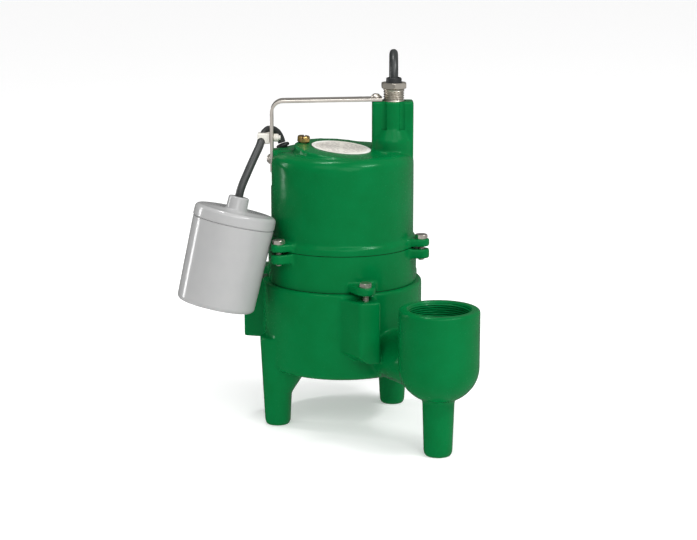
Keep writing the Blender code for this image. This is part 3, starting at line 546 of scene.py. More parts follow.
powerCord = {
    "diameter": 0.0086,
    "gland": (0.0516, 0.0, 0.35),
    "route": [
        (0.0516, 0.0, 0.333), (0.0516, 0.0, 0.34), (0.0516, 0.0, 0.346), (0.0517, 0.0024, 0.3568),
        (0.0518, 0.0109, 0.3669), (0.0519, 0.0255, 0.3715), (0.052, 0.039, 0.3676), (0.0523, 0.057, 0.347),
        (0.0528, 0.073, 0.318), (0.0532, 0.085, 0.277), (0.0536, 0.093, 0.225), (0.0539, 0.098, 0.16),
        (0.054, 0.101, 0.11), (0.0541, 0.1045, 0.076), (0.0543, 0.113, 0.047), (0.0546, 0.13, 0.023),
        (0.055, 0.156, 0.0095), (0.0558, 0.187, 0.0052), (0.0562, 0.217, 0.005), (0.056, 0.24, 0.0056),
        (0.0556, 0.2608, 0.0059), (0.0556, 0.2765, 0.0059),
    ],
    "coilCentre": (0.004, 0.292),
    "turnRadius": 0.043,
    "floor": 0.0016,
    "spacing": 0.0032,  # between the points along it
    "turns": 8, "lastPart": 178, "step": 12,  # whole turns, then degrees
    "layerEnds": (3, 6),  # the turns after which it climbs to the next layer
    "riseFrom": 144, "shiftFrom": 90, "change": 54,  # degrees before a turn's end, and how long it takes
    "climbFrom": 100, "climb": 50, "close": 52,  # at the very end, over the coil
    "wayOut": (195, 215, 232), "lift": (248, 0.001, 0.002),
    "intoPlug": Vector((-0.009, 0, 0)),
}
plugPlace = Vector((0.0, 0.249, 0.039))  # where the cord ends in the plug

tetherCord = {
    "diameter": 0.008,
    "route": [
        (-0.0614, 0.0214, 0.2814), (-0.0631, 0.0216, 0.2864), (-0.0656, 0.0213, 0.291),
        (-0.0699, 0.0194, 0.2945),
        (-0.0743, 0.0153, 0.2955), (-0.0775, 0.009, 0.2941), (-0.0795, 0.0018, 0.291),
        (-0.0812, -0.0047, 0.287),
        (-0.0824, -0.0095, 0.2832), (-0.0873, -0.0215, 0.2733), (-0.0928, -0.0335, 0.2618),
    ],
    "neck": (0.0075, 0.006),  # how far it stands straight above the float's neck, and reaches into it
    "spacing": 0.0016,
    "hinge": (-0.0824, -0.0095, 0.2832),
    "hingeWay": Vector((-0.254, -0.794, -0.554)),
    "bendOver": (0.01, 0.014),  # two lengths along the tether, before and after the hinge
}

floatSwitch = {
    "top": Vector((-0.1047, -0.0456, 0.2242)),
    "base": Vector((-0.1262, -0.055, 0.1295)),
    "radius": 0.0408,
    "baseRadius": 0.039,
    "cap": 0.0125,
    "neckHeight": 0.0137,
    "neckRadius": 0.0106,
    "bore": 0.0045, "wall": 0.003, "edge": 0.0042,
}
floatUp = (floatSwitch["top"] - floatSwitch["base"]).normalized()
floatHeight = (floatSwitch["top"] - floatSwitch["base"]).length
neckTop = floatSwitch["base"] + (floatHeight + floatSwitch["neckHeight"]) * floatUp


def ease(share):
    share = min(1.0, max(0.0, share))
    return share * share * (3 - 2 * share)


def smoothLine(points, spacing):
    # evenly spaced points on a smooth curve through a route's points
    places = [Vector(p) for p in points]
    places.insert(0, 2 * places[0] - places[1])
    places.append(2 * places[-1] - places[-2])
    fine = []
    for i in range(1, len(places) - 2):
        a, b, c, d = places[i - 1:i + 3]
        t1 = (b - a).length ** 0.5
        t2 = t1 + (c - b).length ** 0.5
        t3 = t2 + (d - c).length ** 0.5
        for step in range(20):
            t = t1 + (t2 - t1) * step / 20
            ab, bc, cd = a.lerp(b, t / t1), b.lerp(c, (t - t1) / (t2 - t1)), c.lerp(d, (t - t2) / (t3 - t2))
            abc, bcd = ab.lerp(bc, t / t2), bc.lerp(cd, (t - t1) / (t3 - t1))
            fine.append(abc.lerp(bcd, (t - t1) / (t2 - t1)))
    fine.append(places[-2])
    lengths = [0.0]
    for first, second in zip(fine, fine[1:]):
        lengths.append(lengths[-1] + (second - first).length)
    count = max(2, round(lengths[-1] / spacing))
    even, index = [fine[0]], 0
    for k in range(1, count):
        target = lengths[-1] * k / count
        while lengths[index + 1] < target:
            index += 1
        share = (target - lengths[index]) / (lengths[index + 1] - lengths[index])
        even.append(fine[index].lerp(fine[index + 1], share))
    return even + [fine[-1]]


def cordTube(name, points, diameter, sides=4):
    # a round tube along the points, as a mesh with its own UV map
    curve = bpy.data.curves.new(name, "CURVE")
    curve.dimensions = "3D"
    curve.bevel_depth = diameter / 2
    curve.bevel_resolution = sides
    curve.use_fill_caps = True
    spline = curve.splines.new("POLY")
    spline.points.add(len(points) - 1)
    for point, place in zip(spline.points, points):
        point.co = (*place, 1.0)
    cord = bpy.data.objects.new(name, curve)
    bpy.context.collection.objects.link(cord)
    wake(cord)
    bpy.ops.object.convert(target="MESH")
    editAll(cord)
    weld()
    mode("OBJECT")
    return cord


def coilLine():
    # turns wound in, out and in again, layer on layer, then over to the plug
    c = powerCord
    across, middle = c["diameter"], c["turnRadius"]
    low = c["floor"] + across / 2
    lastTurn = c["turns"] * 360 + c["lastPart"]
    radii = [middle + across, middle, middle - across]
    radii += radii[::-1] + radii
    places = []
    for degrees in range(0, lastTurn + 1, c["step"]):
        radius, layer = radii[0], 0.0
        for k in range(1, c["turns"] + 1):
            rise = ease((degrees - (360 * k - c["riseFrom"])) / c["change"])
            shift = ease((degrees - (360 * k - c["shiftFrom"])) / c["change"])
            radius += (radii[k] - radii[k - 1]) * shift
            if k in c["layerEnds"]:
                layer += rise
        height = low + across * layer
        height += (across + clear) * ease((degrees - (lastTurn - c["climbFrom"])) / c["climb"])
        radius += (middle - radii[c["turns"]]) * ease((degrees - (lastTurn - c["close"])) / c["close"])
        places.append((radius, degrees, height))
    rest = low + across * 3 + clear
    places += [(middle, degrees, rest) for degrees in c["wayOut"]]
    degrees, wider, higher = c["lift"]
    places.append((middle + wider, degrees, rest + higher))
    points = []
    for radius, degrees, height in places:
        x, y = polar(radius, degrees)
        points.append(Vector((c["coilCentre"][0] + x, c["coilCentre"][1] + y, height)))
    return points + [plugPlace + c["intoPlug"], plugPlace]


def lineLength(points):
    return sum((b - a).length for a, b in zip(points, points[1:]))


def makePowerCord():
    line = smoothLine([Vector(p) for p in powerCord["route"]] + coilLine(), powerCord["spacing"])
    cord = cordTube("powerCord", line, powerCord["diameter"])
    settle(cord, "pump", "cord_jacket", "jacket", "power_lead", "lead_coil", "lead_tail", angle=60)
    return cord, [p + motorAxis for p in line]


def makeTether():
    t = tetherCord
    above, inside = t["neck"]
    route = [Vector(p) for p in t["route"]] + [neckTop + above * floatUp, neckTop - inside * floatUp]
    line = smoothLine(route, t["spacing"])
    tether = cordTube("floatTether", line, t["diameter"])
    tether.data.transform(Matrix.Translation(motorAxis))
    smoothed(tether, 60)
    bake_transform(tether)
    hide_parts("tether_upper", "tether_lower")
    tether.data.materials.clear()
    tether.data.materials.append(finishes["tether"])
    line = [p + motorAxis for p in line]
    lineLength(line)


# Castings: forms that overlap are melted into one body, its machined faces are sliced flat, then it is bored

lugs = {  # a form is the tip's radius, the root's radius and half the root's width
    "upper": (-18.5, 101.5, 221.5), "upperCircle": 0.0835, "upperForm": (0.0083, 0.0685, 0.013),
    "lower": (-75.0, 45.0, 165.0), "lowerCircle": 0.089, "lowerForm": (0.01, 0.07, 0.016),
    "hole": 0.0035,
}
pad = {"centre": (-0.002, -0.013), "radius": 0.0462, "height": 0.2816, "slope": (-0.085, 0.055)}
padNormal = Vector((-pad["slope"][0], -pad["slope"][1], 1.0)).normalized()
tetherSeat = Vector((-0.0595, 0.0215, 0.276))
tetherTilt = Vector((-0.34, -0.02, 0.94)).normalized()
spare = 0.003  # left on a rough casting, and sliced off


def padPoint(x, y):
    return Vector((x, y, pad["height"] + pad["slope"][0] * x + pad["slope"][1] * y))


def onPad(piece, x, y):
    # lays a piece made about the origin on the sloping pad
    piece.data.transform(Matrix.Translation(padPoint(x, y)) @ facing(padNormal))
    return piece


def ears(ring, low, high):
    circle, form = lugs[ring + "Circle"], lugs[ring + "Form"]
    return [lug("ear", degrees, circle, form, low, high) for degrees in lugs[ring]]


def holes(ring, low, high):
    places = [polar(lugs[ring + "Circle"], degrees) for degrees in lugs[ring]]
    return [rod("hole", (*place, low), (*place, high), lugs["hole"]) for place in places]


housing = {
    "grain": 0.0011, "softness": 14,
    "radius": 0.072, "top": 0.277, "shoulder": 0.012, "joint": 0.1831,
    "rim": 0.0749, "rimTop": 0.1893, "rimSlope": 0.0025,
    "ears": (0.1842, 0.192),
    "column": (0.0505, 0.0), "columnTop": 0.3272, "columnHalf": (0.0208, 0.0106), "columnEdge": 0.002,
    "chamfer": (0.0045, (0.0045, 0, 0.0055)),
    "core": 0.0145, "foot": [(0.0209, 0.25), (0.0209, 0.288), (0.0152, 0.299)],
    "flute": 0.0036, "fluteAt": (0.0098, -0.0135),
    "strapBoss": ((-0.072, -0.0116, 0.2438), (-0.048, 0.0116, 0.2782)), "bossEdge": 0.0035,
    "strapFlat": ((-0.085, -0.0132, 0.24), (-0.0689, 0.0132, 0.2765)),
    "cavity": [(0.0163, 0.2685), (0.0163, 0.2585), (0.021, 0.2585), (0.021, 0.269), (0.056, 0.269),
               (0.065, 0.26), (0.065, 0.18)],
    "glandAt": (0.0516, 0.0),
    "glandBore": [(0.012, 0.33), (0.012, 0.3262), (0.011, 0.325), (0.011, 0.305), (0.0065, 0.3),
                  (0.0065, 0.265)],
    # holes as start, end and radius: the strap's two screws and the oil plug
    "holes": [((-0.074, 0, 0.268), (-0.057, 0, 0.268), 0.0028),
              ((0.0338, 0, 0.312), (0.0338, 0, 0.33), 0.0028),
              ((-0.039, 0, 0.262), (-0.039, 0, 0.3), 0.006)],
    "tetherHole": (0.016, 0.01, 0.0046),
}


def makeHousing():
    h = housing
    corner, rimEnd = h["radius"] - h["shoulder"], h["joint"] - spare
    profile = [(corner, h["top"])] + bead((corner, h["top"] - h["shoulder"]), h["shoulder"], 80, 0, 8)
    profile += [(h["radius"], h["rimTop"] + h["rimSlope"]), (h["rim"], h["rimTop"]), (h["rim"], rimEnd)]
    piece = turned("motorHousing", profile, 160)
    padForm = turned("padForm", [(pad["radius"], 0.262), (pad["radius"], 0.3)], 128, pad["centre"])
    slice(padForm, padPoint(0, 0), padNormal)
    boss = block("strapBoss", *h["strapBoss"], roundAll=h["bossEdge"])
    foot = turned("columnFoot", h["foot"], 64, h["column"])
    wide, deep = h["columnHalf"]
    x, top = h["column"][0], h["columnTop"]
    low, high = (x - wide, -deep, 0.26), (x + wide, deep, top)
    column = block("columnBlock", low, high, roundUpright=h["columnEdge"])
    drop, slope = h["chamfer"]
    slice(column, (x + wide, 0, top - drop), slope)
    core = turned("columnCore", [(h["core"], 0.261), (h["core"], top)], 64, h["column"])
    cast(piece, [padForm, boss, foot, column, core] + ears("upper", *h["ears"]), h["grain"], h["softness"])
    slice(piece, (0, 0, h["joint"]), (0, 0, -1))
    cut(piece, block("strapFlat", *h["strapFlat"]))
    cut(piece, turned("motorCavity", h["cavity"]))
    side, front = h["fluteAt"]
    for fluteX in (x - side, x + side):
        cut(piece, rod("flute", (fluteX, front, 0.299), (fluteX, front, 0.34), h["flute"]))
    bore = turned("glandBore", h["glandBore"], 64, h["glandAt"])
    bores = [rod("hole", *hole) for hole in h["holes"]]
    below, above, radius = h["tetherHole"]
    start, end = tetherSeat - below * tetherTilt, tetherSeat + above * tetherTilt
    bores.append(rod("tetherHole", start, end, radius))
    cut(piece, join(bore, bores + holes("upper", 0.178, 0.198)))
    settle(piece, "pump", "green_enamel", "enamel", "motor_housing")


sealPlate = {
    "grain": 0.0011, "softness": 12,
    "radius": 0.0752, "top": 0.1825, "base": 0.1464,
    "upperEars": (0.1722, 0.1816), "lowerEars": (0.1476, 0.1555),
    "spigot": [(0.0692, 0.149), (0.0692, 0.1416), (0.0686, 0.141), (0.056, 0.141), (0.05, 0.1472)],
    "pocket": [(0.063, 0.185), (0.063, 0.172), (0.0203, 0.172), (0.0203, 0.158), (0.0086, 0.158),
               (0.0086, 0.153), (0.0143, 0.153), (0.0143, 0.144)],
}


def makeSealPlate():
    p = sealPlate
    piece = turned("sealPlate", [(p["radius"], p["top"] + spare), (p["radius"], p["base"] - spare)], 160)
    forms = ears("upper", *p["upperEars"]) + ears("lower", *p["lowerEars"])
    cast(piece, forms, p["grain"], p["softness"])
    slice(piece, (0, 0, p["top"]), (0, 0, 1))
    slice(piece, (0, 0, p["base"]), (0, 0, -1))
    cut(piece, turned("spigot", p["spigot"], 160), "UNION")
    cut(piece, turned("sealPocket", p["pocket"]))
    bores = holes("upper", 0.168, 0.186) + holes("lower", 0.144, 0.16)
    cut(piece, join(bores[0], bores[1:]))
    settle(piece, "pump", "green_enamel", "enamel", "seal_plate")


volute = {
    "grain": 0.0012, "softness": 13,
    "radius": 0.0807, "top": 0.1458, "base": 0.0573, "lipEdge": 0.0018, "baseEdge": 0.0085,
    "column": [(0.07, -0.029), (0.08, -0.0215), (0.1027, -0.009), (0.1027, 0.0118), (0.07, 0.0118)],
    "columnSpan": (0.0803, 0.142), "columnEdge": 0.0025,
    "columnCut": ((0.1027, -0.009, 0.088), (0.3, -0.6, -0.75)),
    "feet": ((-0.0658, -0.0279), (0.0525, 0.0485)),
    "leg": [(0.0104, -0.0012), (0.0123, 0.0008), (0.0131, 0.0036), (0.0176, 0.092)],
    "gussets": ((0.0088, 0.0037), (-0.0066, -0.0061)), "gussetSpan": (0.032, 0.062),
    "gusset": (0.0126, 0.0222),
    "duct": (0.517, -0.856), "ductHeight": 0.082, "ductRadius": 0.0247, "ductBore": 0.017,
    "socket": (0.093, -0.133), "socketRadius": 0.0392, "socketTop": 0.1452, "socketLip": 0.0022,
    "bowl": (0.088, 0.9, -64),  # the bowl's middle, how flat it is and where it meets the leg
    "socketLeg": [(0.0157, 0.054), (0.0141, 0.0036), (0.0133, 0.0008), (0.0114, -0.0012)],
    "chamber": [(0.07, 0.15), (0.07, 0.066), (0.0255, 0.066), (0.0255, 0.05)],
    "pitch": 0.00221, "threadRadius": 0.0302, "threadDepth": 0.0013, "threadSpan": (0.1105, 0.1438),
    "threadLength": 0.033,
    "mouth": [(0.0326, 0.148), (0.0322, 0.1462), (0.0304, 0.144)],
    "throat": [(0.027, 0.108), (0.027, 0.09), (0.0225, 0.074), (0.014, 0.0665)],
}


def makeBoltColumns():
    v = volute
    columns = []
    for degrees in lugs["lower"]:
        column = plate("boltColumn", v["column"], *v["columnSpan"])
        roundEdges(column, v["columnEdge"], 4, lambda a, b: isUpright(a, b) and a.x > 0.1)
        slice(column, *v["columnCut"])
        column.data.transform(turnBy(degrees))
        columns.append(column)
    return columns


def makeVolute():
    v = volute
    r, base, lip, edge = v["radius"], v["base"], v["lipEdge"], v["baseEdge"]
    wall = bead((r - lip, v["top"] - lip), lip, 90, 0, 4) + bead((r - edge, base + edge), edge, 0, -90, 8)
    piece = turned("voluteCasing", wall, 160)
    forms = makeBoltColumns()
    low, high = v["gussetSpan"]
    for foot, lean in zip(v["feet"], v["gussets"]):
        x, y = foot
        forms.append(turned("leg", v["leg"], 64, foot))
        forms.append(rod("gusset", (x, y, low), (x + lean[0], y + lean[1], high), *v["gusset"]))
    sx, sy = v["socket"]
    dx, dy = v["duct"]
    high = v["ductHeight"]
    forms.append(rod("ductForm", (sx - 0.1 * dx, sy - 0.1 * dy, high), (sx, sy, high), v["ductRadius"]))
    lip, top = v["socketLip"], v["socketTop"]
    middle, flat, end = v["bowl"]
    cup = [(v["socketRadius"] - lip, top)] + bead((v["socketRadius"] - lip, top - lip), lip, 90, 0, 4)
    cup += [(x, middle + flat * z) for x, z in bead((0, 0), v["socketRadius"], 0, end, 12)] + v["socketLeg"]
    forms.append(turned("socketForm", cup, 128, v["socket"]))
    cast(piece, forms, v["grain"], v["softness"])
    slice(piece, (0, 0, 0), (0, 0, -1))
    cut(piece, turned("chamber", v["chamber"], 128))
    cut(piece, rod("ductBore", (sx - 0.104 * dx, sy - 0.104 * dy, high), (sx, sy, high), v["ductBore"]))
    rings = 128
    low, high = v["threadSpan"]
    threads = [(v["threadRadius"], high - v["threadLength"] * i / rings) for i in range(rings + 1)]
    bore = turned("socketBore", v["mouth"] + threads + v["throat"], 96, v["socket"])
    threadOn(bore, v["threadRadius"], v["pitch"], v["threadDepth"], low, high, v["socket"])
    cut(piece, bore)
    bores = holes("lower", 0.118, 0.144)
    cut(piece, join(bores[0], bores[1:]))
    nodes = ("volute_casing", "suction_base", "discharge_elbow")
    settle(piece, "pump", "green_enamel", "enamel", *nodes)


# Fasteners and fittings


def hexagon(name, across, low, high, at=(0, 0), turn=0.0, topSlope=0.12, bottomSlope=0.0):
    # a hexagon whose corners are turned off on a lathe, as on any nut or bolt
    fresh()
    middle = (*at, (low + high) / 2)
    bpy.ops.mesh.primitive_cylinder_add(vertices=6, radius=across, depth=high - low, location=middle,
                                        rotation=(0, 0, math.radians(turn)))
    piece = named(name)
    face, full = across * 0.9, across * 1.02
    profile = [(face, high), (full, high - across * topSlope), (full, low + across * bottomSlope)]
    profile.append((face if bottomSlope else full, low))
    cut(piece, turned(name + "Lathe", profile, 96, at), "INTERSECT")
    return piece


bolt = {
    "across": 0.0064, "head": 0.004, "shank": 0.0031, "pitch": 0.001, "depth": 0.0004, "point": 0.0008,
    "washer": 0.0057,
    # name, node, underside of the head, tip, ring of lugs
    "sets": (("housingBolt", "housing_bolt", 0.1921, 0.17, "upper"),
             ("voluteBolt", "volute_bolt", 0.1556, 0.119, "lower")),
}


def makeBolt(name, seat, tip):
    # hexagon head with a washer face, and a threaded shank, standing on the motor axis
    b = bolt
    piece = hexagon(name, b["across"], seat + 0.0004, seat + b["head"], topSlope=0.14)
    washer = turned("washerFace", [(b["washer"], seat + 0.0006), (b["washer"], seat)], 48)
    rings = round((seat - tip) / b["pitch"] * 6)
    length = seat - tip - b["point"]
    shank = [(b["shank"], seat + 0.001)]
    shank += [(b["shank"], seat - length * i / rings) for i in range(rings + 1)]
    shank = turned("shank", shank + [(b["shank"] - 0.0007, tip)], 32)
    threadOn(shank, b["shank"], b["pitch"], b["depth"], tip + b["point"], seat - 0.001)
    cut(piece, washer, "UNION")
    return cut(piece, shank, "UNION")


def makeBolts():
    for name, node, seat, tip, ring in bolt["sets"]:
        first = makeBolt(name, seat, tip)
        for letter, degrees in zip("abc", lugs[ring]):
            x, y = polar(lugs[ring + "Circle"], degrees)
            place = Matrix.Translation((x, y, 0)) @ turnBy(degrees * 1.7)
            each = copyOf(first, name + letter.upper(), place)
            settle(each, "pump", "zinc_steel", "zinc", f"{node}_{letter}")
        bpy.data.objects.remove(first, do_unlink=True)


strap = {
    "face": -0.0692, "thick": 0.003, "half": 0.0095, "top": 0.3303, "foot": 0.2555, "end": 0.04,
    "bend": 0.013, "fall": 0.0018, "corner": 0.0012, "edge": 0.0005, "hole": 0.0028,
}
clip = Vector((-0.0792, 0.001, 0.2895))
screw = {
    "crown": (0.0018, 0.0034), "brim": [(0.0046, 0.0016), (0.005, 0.0006), (0.005, 0.0)],
    "recess": (0.0022, 0.0005), "recessSpan": (0.0018, 0.005),
    "shank": 0.0025, "length": 0.0112, "pitch": 0.0008, "depth": 0.0004,
    "side": 0.268, "top": 0.0338,  # the height of the one and the distance out of the other
}


def makeStrap():
    s = strap
    outer, low, inside = s["face"] - s["thick"], s["top"] - s["thick"], s["bend"] - s["thick"]
    centre = (outer + s["bend"], s["top"] - s["fall"] - s["bend"])
    outline = [(s["face"], s["foot"]), (outer, s["foot"])] + bead(centre, s["bend"], 180, 90, 14)
    outline += [(s["end"], s["top"]), (s["end"], low)] + bead(centre, inside, 90, 180, 14)
    piece = plate("handleStrap", outline, -s["half"], s["half"])
    piece.data.transform(turnBy(90, "X"))
    footEnd = s["foot"] + 0.001
    roundEdges(piece, s["corner"], 3, lambda a, b: abs(a.y - b.y) > 0.01 and min(a.z, b.z) < footEnd)
    roundEdges(piece, s["edge"], 3, lambda a, b: max(abs(a.y - b.y), abs(abs(a.y) - s["half"])) < 0.0001)
    bores = [rod("footHole", (-0.08, 0, screw["side"]), (-0.06, 0, screw["side"]), s["hole"]),
             rod("clipHole", (-0.079, 0, clip.z), (-0.061, 0, clip.z), s["hole"]),
             rod("endHole", (screw["top"], 0, 0.32), (screw["top"], 0, 0.34), s["hole"])]
    cut(piece, join(bores[0], bores[1:]))
    settle(piece, "pump", "stainless", "stainless", "handle_strap")


def makeScrews():
    # pan heads with a cross recess
    s = screw
    first = turned("panScrew", [s["crown"]] + bead((0.0018, 0.0014), 0.002, 80, 20, 4) + s["brim"], 64)
    (long, short), (low, high) = s["recess"], s["recessSpan"]
    for x, y in ((long, short), (short, long)):
        cut(first, block("recess", (-x, -y, low), (x, y, high)))
    shank = [(s["shank"], 0.001)] + [(s["shank"], -s["length"] * i / 84) for i in range(85)]
    shank = turned("shank", shank + [(s["shank"] - 0.0007, -s["length"] - 0.0008)], 32)
    threadOn(shank, s["shank"], s["pitch"], s["depth"], -s["length"], -0.0015)
    cut(first, shank, "UNION")
    sideAt = (strap["face"] - strap["thick"] - clear, 0, s["side"])
    topAt = (s["top"], 0, strap["top"] + clear)
    for name, node, place, turn in (("strapScrewSide", "strap_screw_side", sideAt, turnBy(-90, "Y")),
                                    ("strapScrewTop", "strap_screw_top", topAt, turnBy(30))):
        settle(copyOf(first, name, Matrix.Translation(place) @ turn), "pump", "zinc_steel", "zinc", node)
    bpy.data.objects.remove(first, do_unlink=True)


oilPlug = {
    "head": [(0.0044, 0.0064), (0.0056, 0.0062), (0.0062, 0.0055), (0.0063, 0.0048), (0.0063, 0.0008),
             (0.0059, 0.0004)],
    "stem": ((0, 0, -0.008), (0, 0, 0.002), 0.0046),
    "slot": ((-0.008, -0.0008, 0.004), (0.008, 0.0008, 0.01)), "turn": 24,
    "at": (-0.039, 0.0),
}


def makeOilPlug():
    piece = turned("oilFillPlug", oilPlug["head"], 64)
    cut(piece, rod("stem", *oilPlug["stem"]), "UNION")
    cut(piece, block("slot", *oilPlug["slot"], turn=oilPlug["turn"]))
    onPad(piece, *oilPlug["at"])
    piece.data.transform(Matrix.Translation((0, 0, clear)))
    settle(piece, "pump", "brass", "brass", "oil_fill_plug")


def makeNamePlate():
    # a blank oval rating plate with a raised rim
    n = namePlate
    outline = [(x, y * n["along"] / n["across"]) for x, y in bead((0, 0), n["across"], 0, 357, 119)]
    piece = plate("namePlate", outline, *n["span"])
    pick(piece, "FACE", lambda centre, normal: normal.z > 0.9)
    for inward, downward in n["rim"]:
        bpy.ops.mesh.inset(thickness=inward, depth=-downward)
    wake(piece)
    onPad(piece, *n["place"])
    settle(piece, "pump", "plate_foil", "foil", "name_plate", angle=20)


gland = {
    "at": (0.0516, 0.0), "radius": 0.0106, "pitch": 0.0024, "depth": 0.0011,
    "top": 0.3388, "threadLength": 0.0126, "threadSpan": (0.3262, 0.3388),
    "lip": [(0.0083, 0.3394), (0.0099, 0.3394)],
    "inside": [(0.0102, 0.306), (0.006, 0.306), (0.006, 0.33), (0.0083, 0.332)],
    "nut": 0.0138, "nutSpan": (0.3397, 0.3452), "turn": 3.5,
    "nutBore": [(0.0092, 0.346), (0.0082, 0.3445), (0.0082, 0.335)],
    "bush": [(0.0066, 0.3502), (0.0074, 0.3498), (0.0078, 0.3488), (0.0078, 0.3325)],
}


def makeGland():
    g = gland
    rings = 96
    radius, top = g["radius"], g["top"]
    body = g["lip"] + [(radius, top)]
    body += [(radius, top - g["threadLength"] * i / rings) for i in range(1, rings)]
    body += [(radius, 0.3258), (radius, 0.3064)] + g["inside"]
    piece = turned("glandBody", body, 96, g["at"], ring=True)
    threadOn(piece, radius, g["pitch"], g["depth"], *g["threadSpan"], g["at"])
    settle(piece, "pump", "stainless", "nickel", "gland_body")
    nut = hexagon("glandNut", g["nut"], *g["nutSpan"], g["at"], g["turn"], 0.1, 0.1)
    cut(nut, turned("nutBore", g["nutBore"], 64, g["at"]))
    settle(nut, "pump", "stainless", "nickel", "gland_nut", angle=20)
    hole = powerCord["diameter"] / 2 + clear
    profile = g["bush"] + [(hole, 0.3325), (hole, 0.344), (0.0059, 0.35)]
    bush = turned("glandBush", profile, 64, g["at"], ring=True)
    settle(bush, "pump", "black_rubber", "rubber", "gland_bush")


saddle = {
    "low": Vector((-0.0058, -0.0085, -0.0055)), "high": Vector((0.0, 0.006, 0.005)), "edge": 0.0012,
    "stud": 0.0024, "studEnd": -0.062, "way": (-0.088, -0.023, 0.2735), "room": 0.001,
    "retainer": [(0.0027, 0.0003), (0.0036, 0.0003), (0.004, 0.0007), (0.004, 0.0044), (0.0034, 0.0052),
                 (0.0027, 0.0052)],
}


def makeClip():
    # a nylon saddle round the tether, held by a stud through the strap
    s = saddle
    face = strap["face"] - strap["thick"] - clear
    high = clip + s["high"]
    piece = block("cordClip", clip + s["low"], (face, high.y, high.z), roundAll=s["edge"])
    cut(piece, rod("stud", (face - 0.002, 0, clip.z), (s["studEnd"], 0, clip.z), s["stud"]), "UNION")
    line = smoothLine([s["way"]] + tetherCord["route"][8::-1], 0.003)
    cut(piece, cordTube("clipBore", line, tetherCord["diameter"] + s["room"], 6))
    settle(piece, "pump", "white_nylon", "nylon", "cord_clip")
    washer = turned("clipRetainer", s["retainer"], 48, ring=True)
    washer.data.transform(Matrix.Translation((strap["face"], 0, clip.z)) @ turnBy(90, "Y"))
    settle(washer, "pump", "white_nylon", "nylon", "clip_retainer")


grommet = [(0.0042, 0.0042), (0.0058, 0.0042), (0.0067, 0.0035), (0.0068, 0.002), (0.0066, 0.0015),
           (0.0043, 0.0015), (0.0043, -0.01)]


def makeGrommet():
    piece = turned("tetherGrommet", grommet, 48)
    piece.data.transform(Matrix.Translation(tetherSeat) @ facing(tetherTilt))
    settle(piece, "pump", "black_rubber", "rubber", "tether_grommet")


# Float


def makeFloat():
    # a shell and its cap, turned standing up and then hung on the tether
    f = floatSwitch
    split = floatHeight - f["cap"]
    wide = f["baseRadius"] + (f["radius"] - f["baseRadius"]) * split / floatHeight
    inside, base, edge = wide - f["wall"], f["baseRadius"], f["edge"]
    place = Matrix.Translation(f["base"]) @ facing(floatUp)
    outer = [(base - 0.011, 0.0008), (base - 0.01, 0.0)] + bead((base - 0.005, 0.005), 0.005, -80, 0, 8)
    outer += [(wide, split - 0.0009), (wide - 0.0005, split - 0.0003), (inside, split - 0.0003)]
    outer += [(inside, 0.009), (inside - 0.006, 0.003)]
    shell = turned("floatShell", outer, 128)
    shell.data.transform(place)
    settle(shell, "float", "grey_plastic", "greyPlastic", "float_shell", angle=28)
    neck, top = f["neckRadius"], floatHeight + f["neckHeight"]
    cap = [(f["bore"], top)] + bead((neck - 0.002, top - 0.0016), 0.0016, 90, 10, 5)
    for out, up in ((0.0, 0.003), (0.0008, 0.0012), (0.0024, 0.0004)):
        cap.append((neck + out, floatHeight + up))
    shoulder = f["radius"] - edge
    cap += [(shoulder, floatHeight)] + bead((shoulder, floatHeight - edge), edge, 75, 0, 8)
    cap += [(wide + 0.0004, split + 0.0012), (wide, split + 0.0006)]
    cap += [(wide - 0.0005, split), (inside, split)]
    cap += [(inside, floatHeight - f["wall"]), (f["bore"], floatHeight - f["wall"])]
    lid = turned("floatCap", cap, 128, ring=True)
    lid.data.transform(place)
    settle(lid, "float", "grey_plastic", "greyPlastic", "float_cap", angle=28)


# Impeller, seen through the inlet under the volute

wheel = {
    "profile": [(0.0125, 0.1267), (0.015, 0.1225), (0.0588, 0.1225), (0.059, 0.1223), (0.059, 0.1187),
                (0.0588, 0.1185), (0.013, 0.116), (0.012, 0.1)],
    "vane": ((0.008, -0.002, 0.101), (0.057, 0.002, 0.12)), "vanes": 4, "bore": 0.0058,
}


def makeImpeller():
    piece = turned("impeller", wheel["profile"], 128)
    for i in range(wheel["vanes"]):
        cut(piece, block("vane", *wheel["vane"], turn=360 // wheel["vanes"] * i, roundAll=0.0008), "UNION")
    cut(piece, rod("bore", (0, 0, 0.09), (0, 0, 0.135), wheel["bore"]))
    settle(piece, "rotor", "cast_iron", "iron", "impeller", angle=30)


# The far end of the lead

plug = {
    "back": plugPlace + Vector((0.0003, 0, 0)),
    "low": Vector((0.022, -0.013, -0.0113)), "high": Vector((0.051, 0.013, 0.0113)), "edge": 0.0042,
    "relief": (0.0056, 0.0039, 0.022, 0.0008, 0.0095, 0.024),
    "face": Vector((0.0513, 0, 0)),
    "blade": (Vector((0, -0.0071, -0.0005)), Vector((0.0165, -0.0056, 0.0058))), "bladeApart": 0.0127,
    "bladeHole": (Vector((0.0125, -0.02, 0.0026)), Vector((0.0125, 0.0, 0.0026)), 0.0016),
    "pin": [(0.0024, 0.0), (0.0024, 0.0165)] + bead((0.0006, 0.0168), 0.0018, 0, 75, 6),
    "pinAt": Vector((0, 0, -0.007)),
}


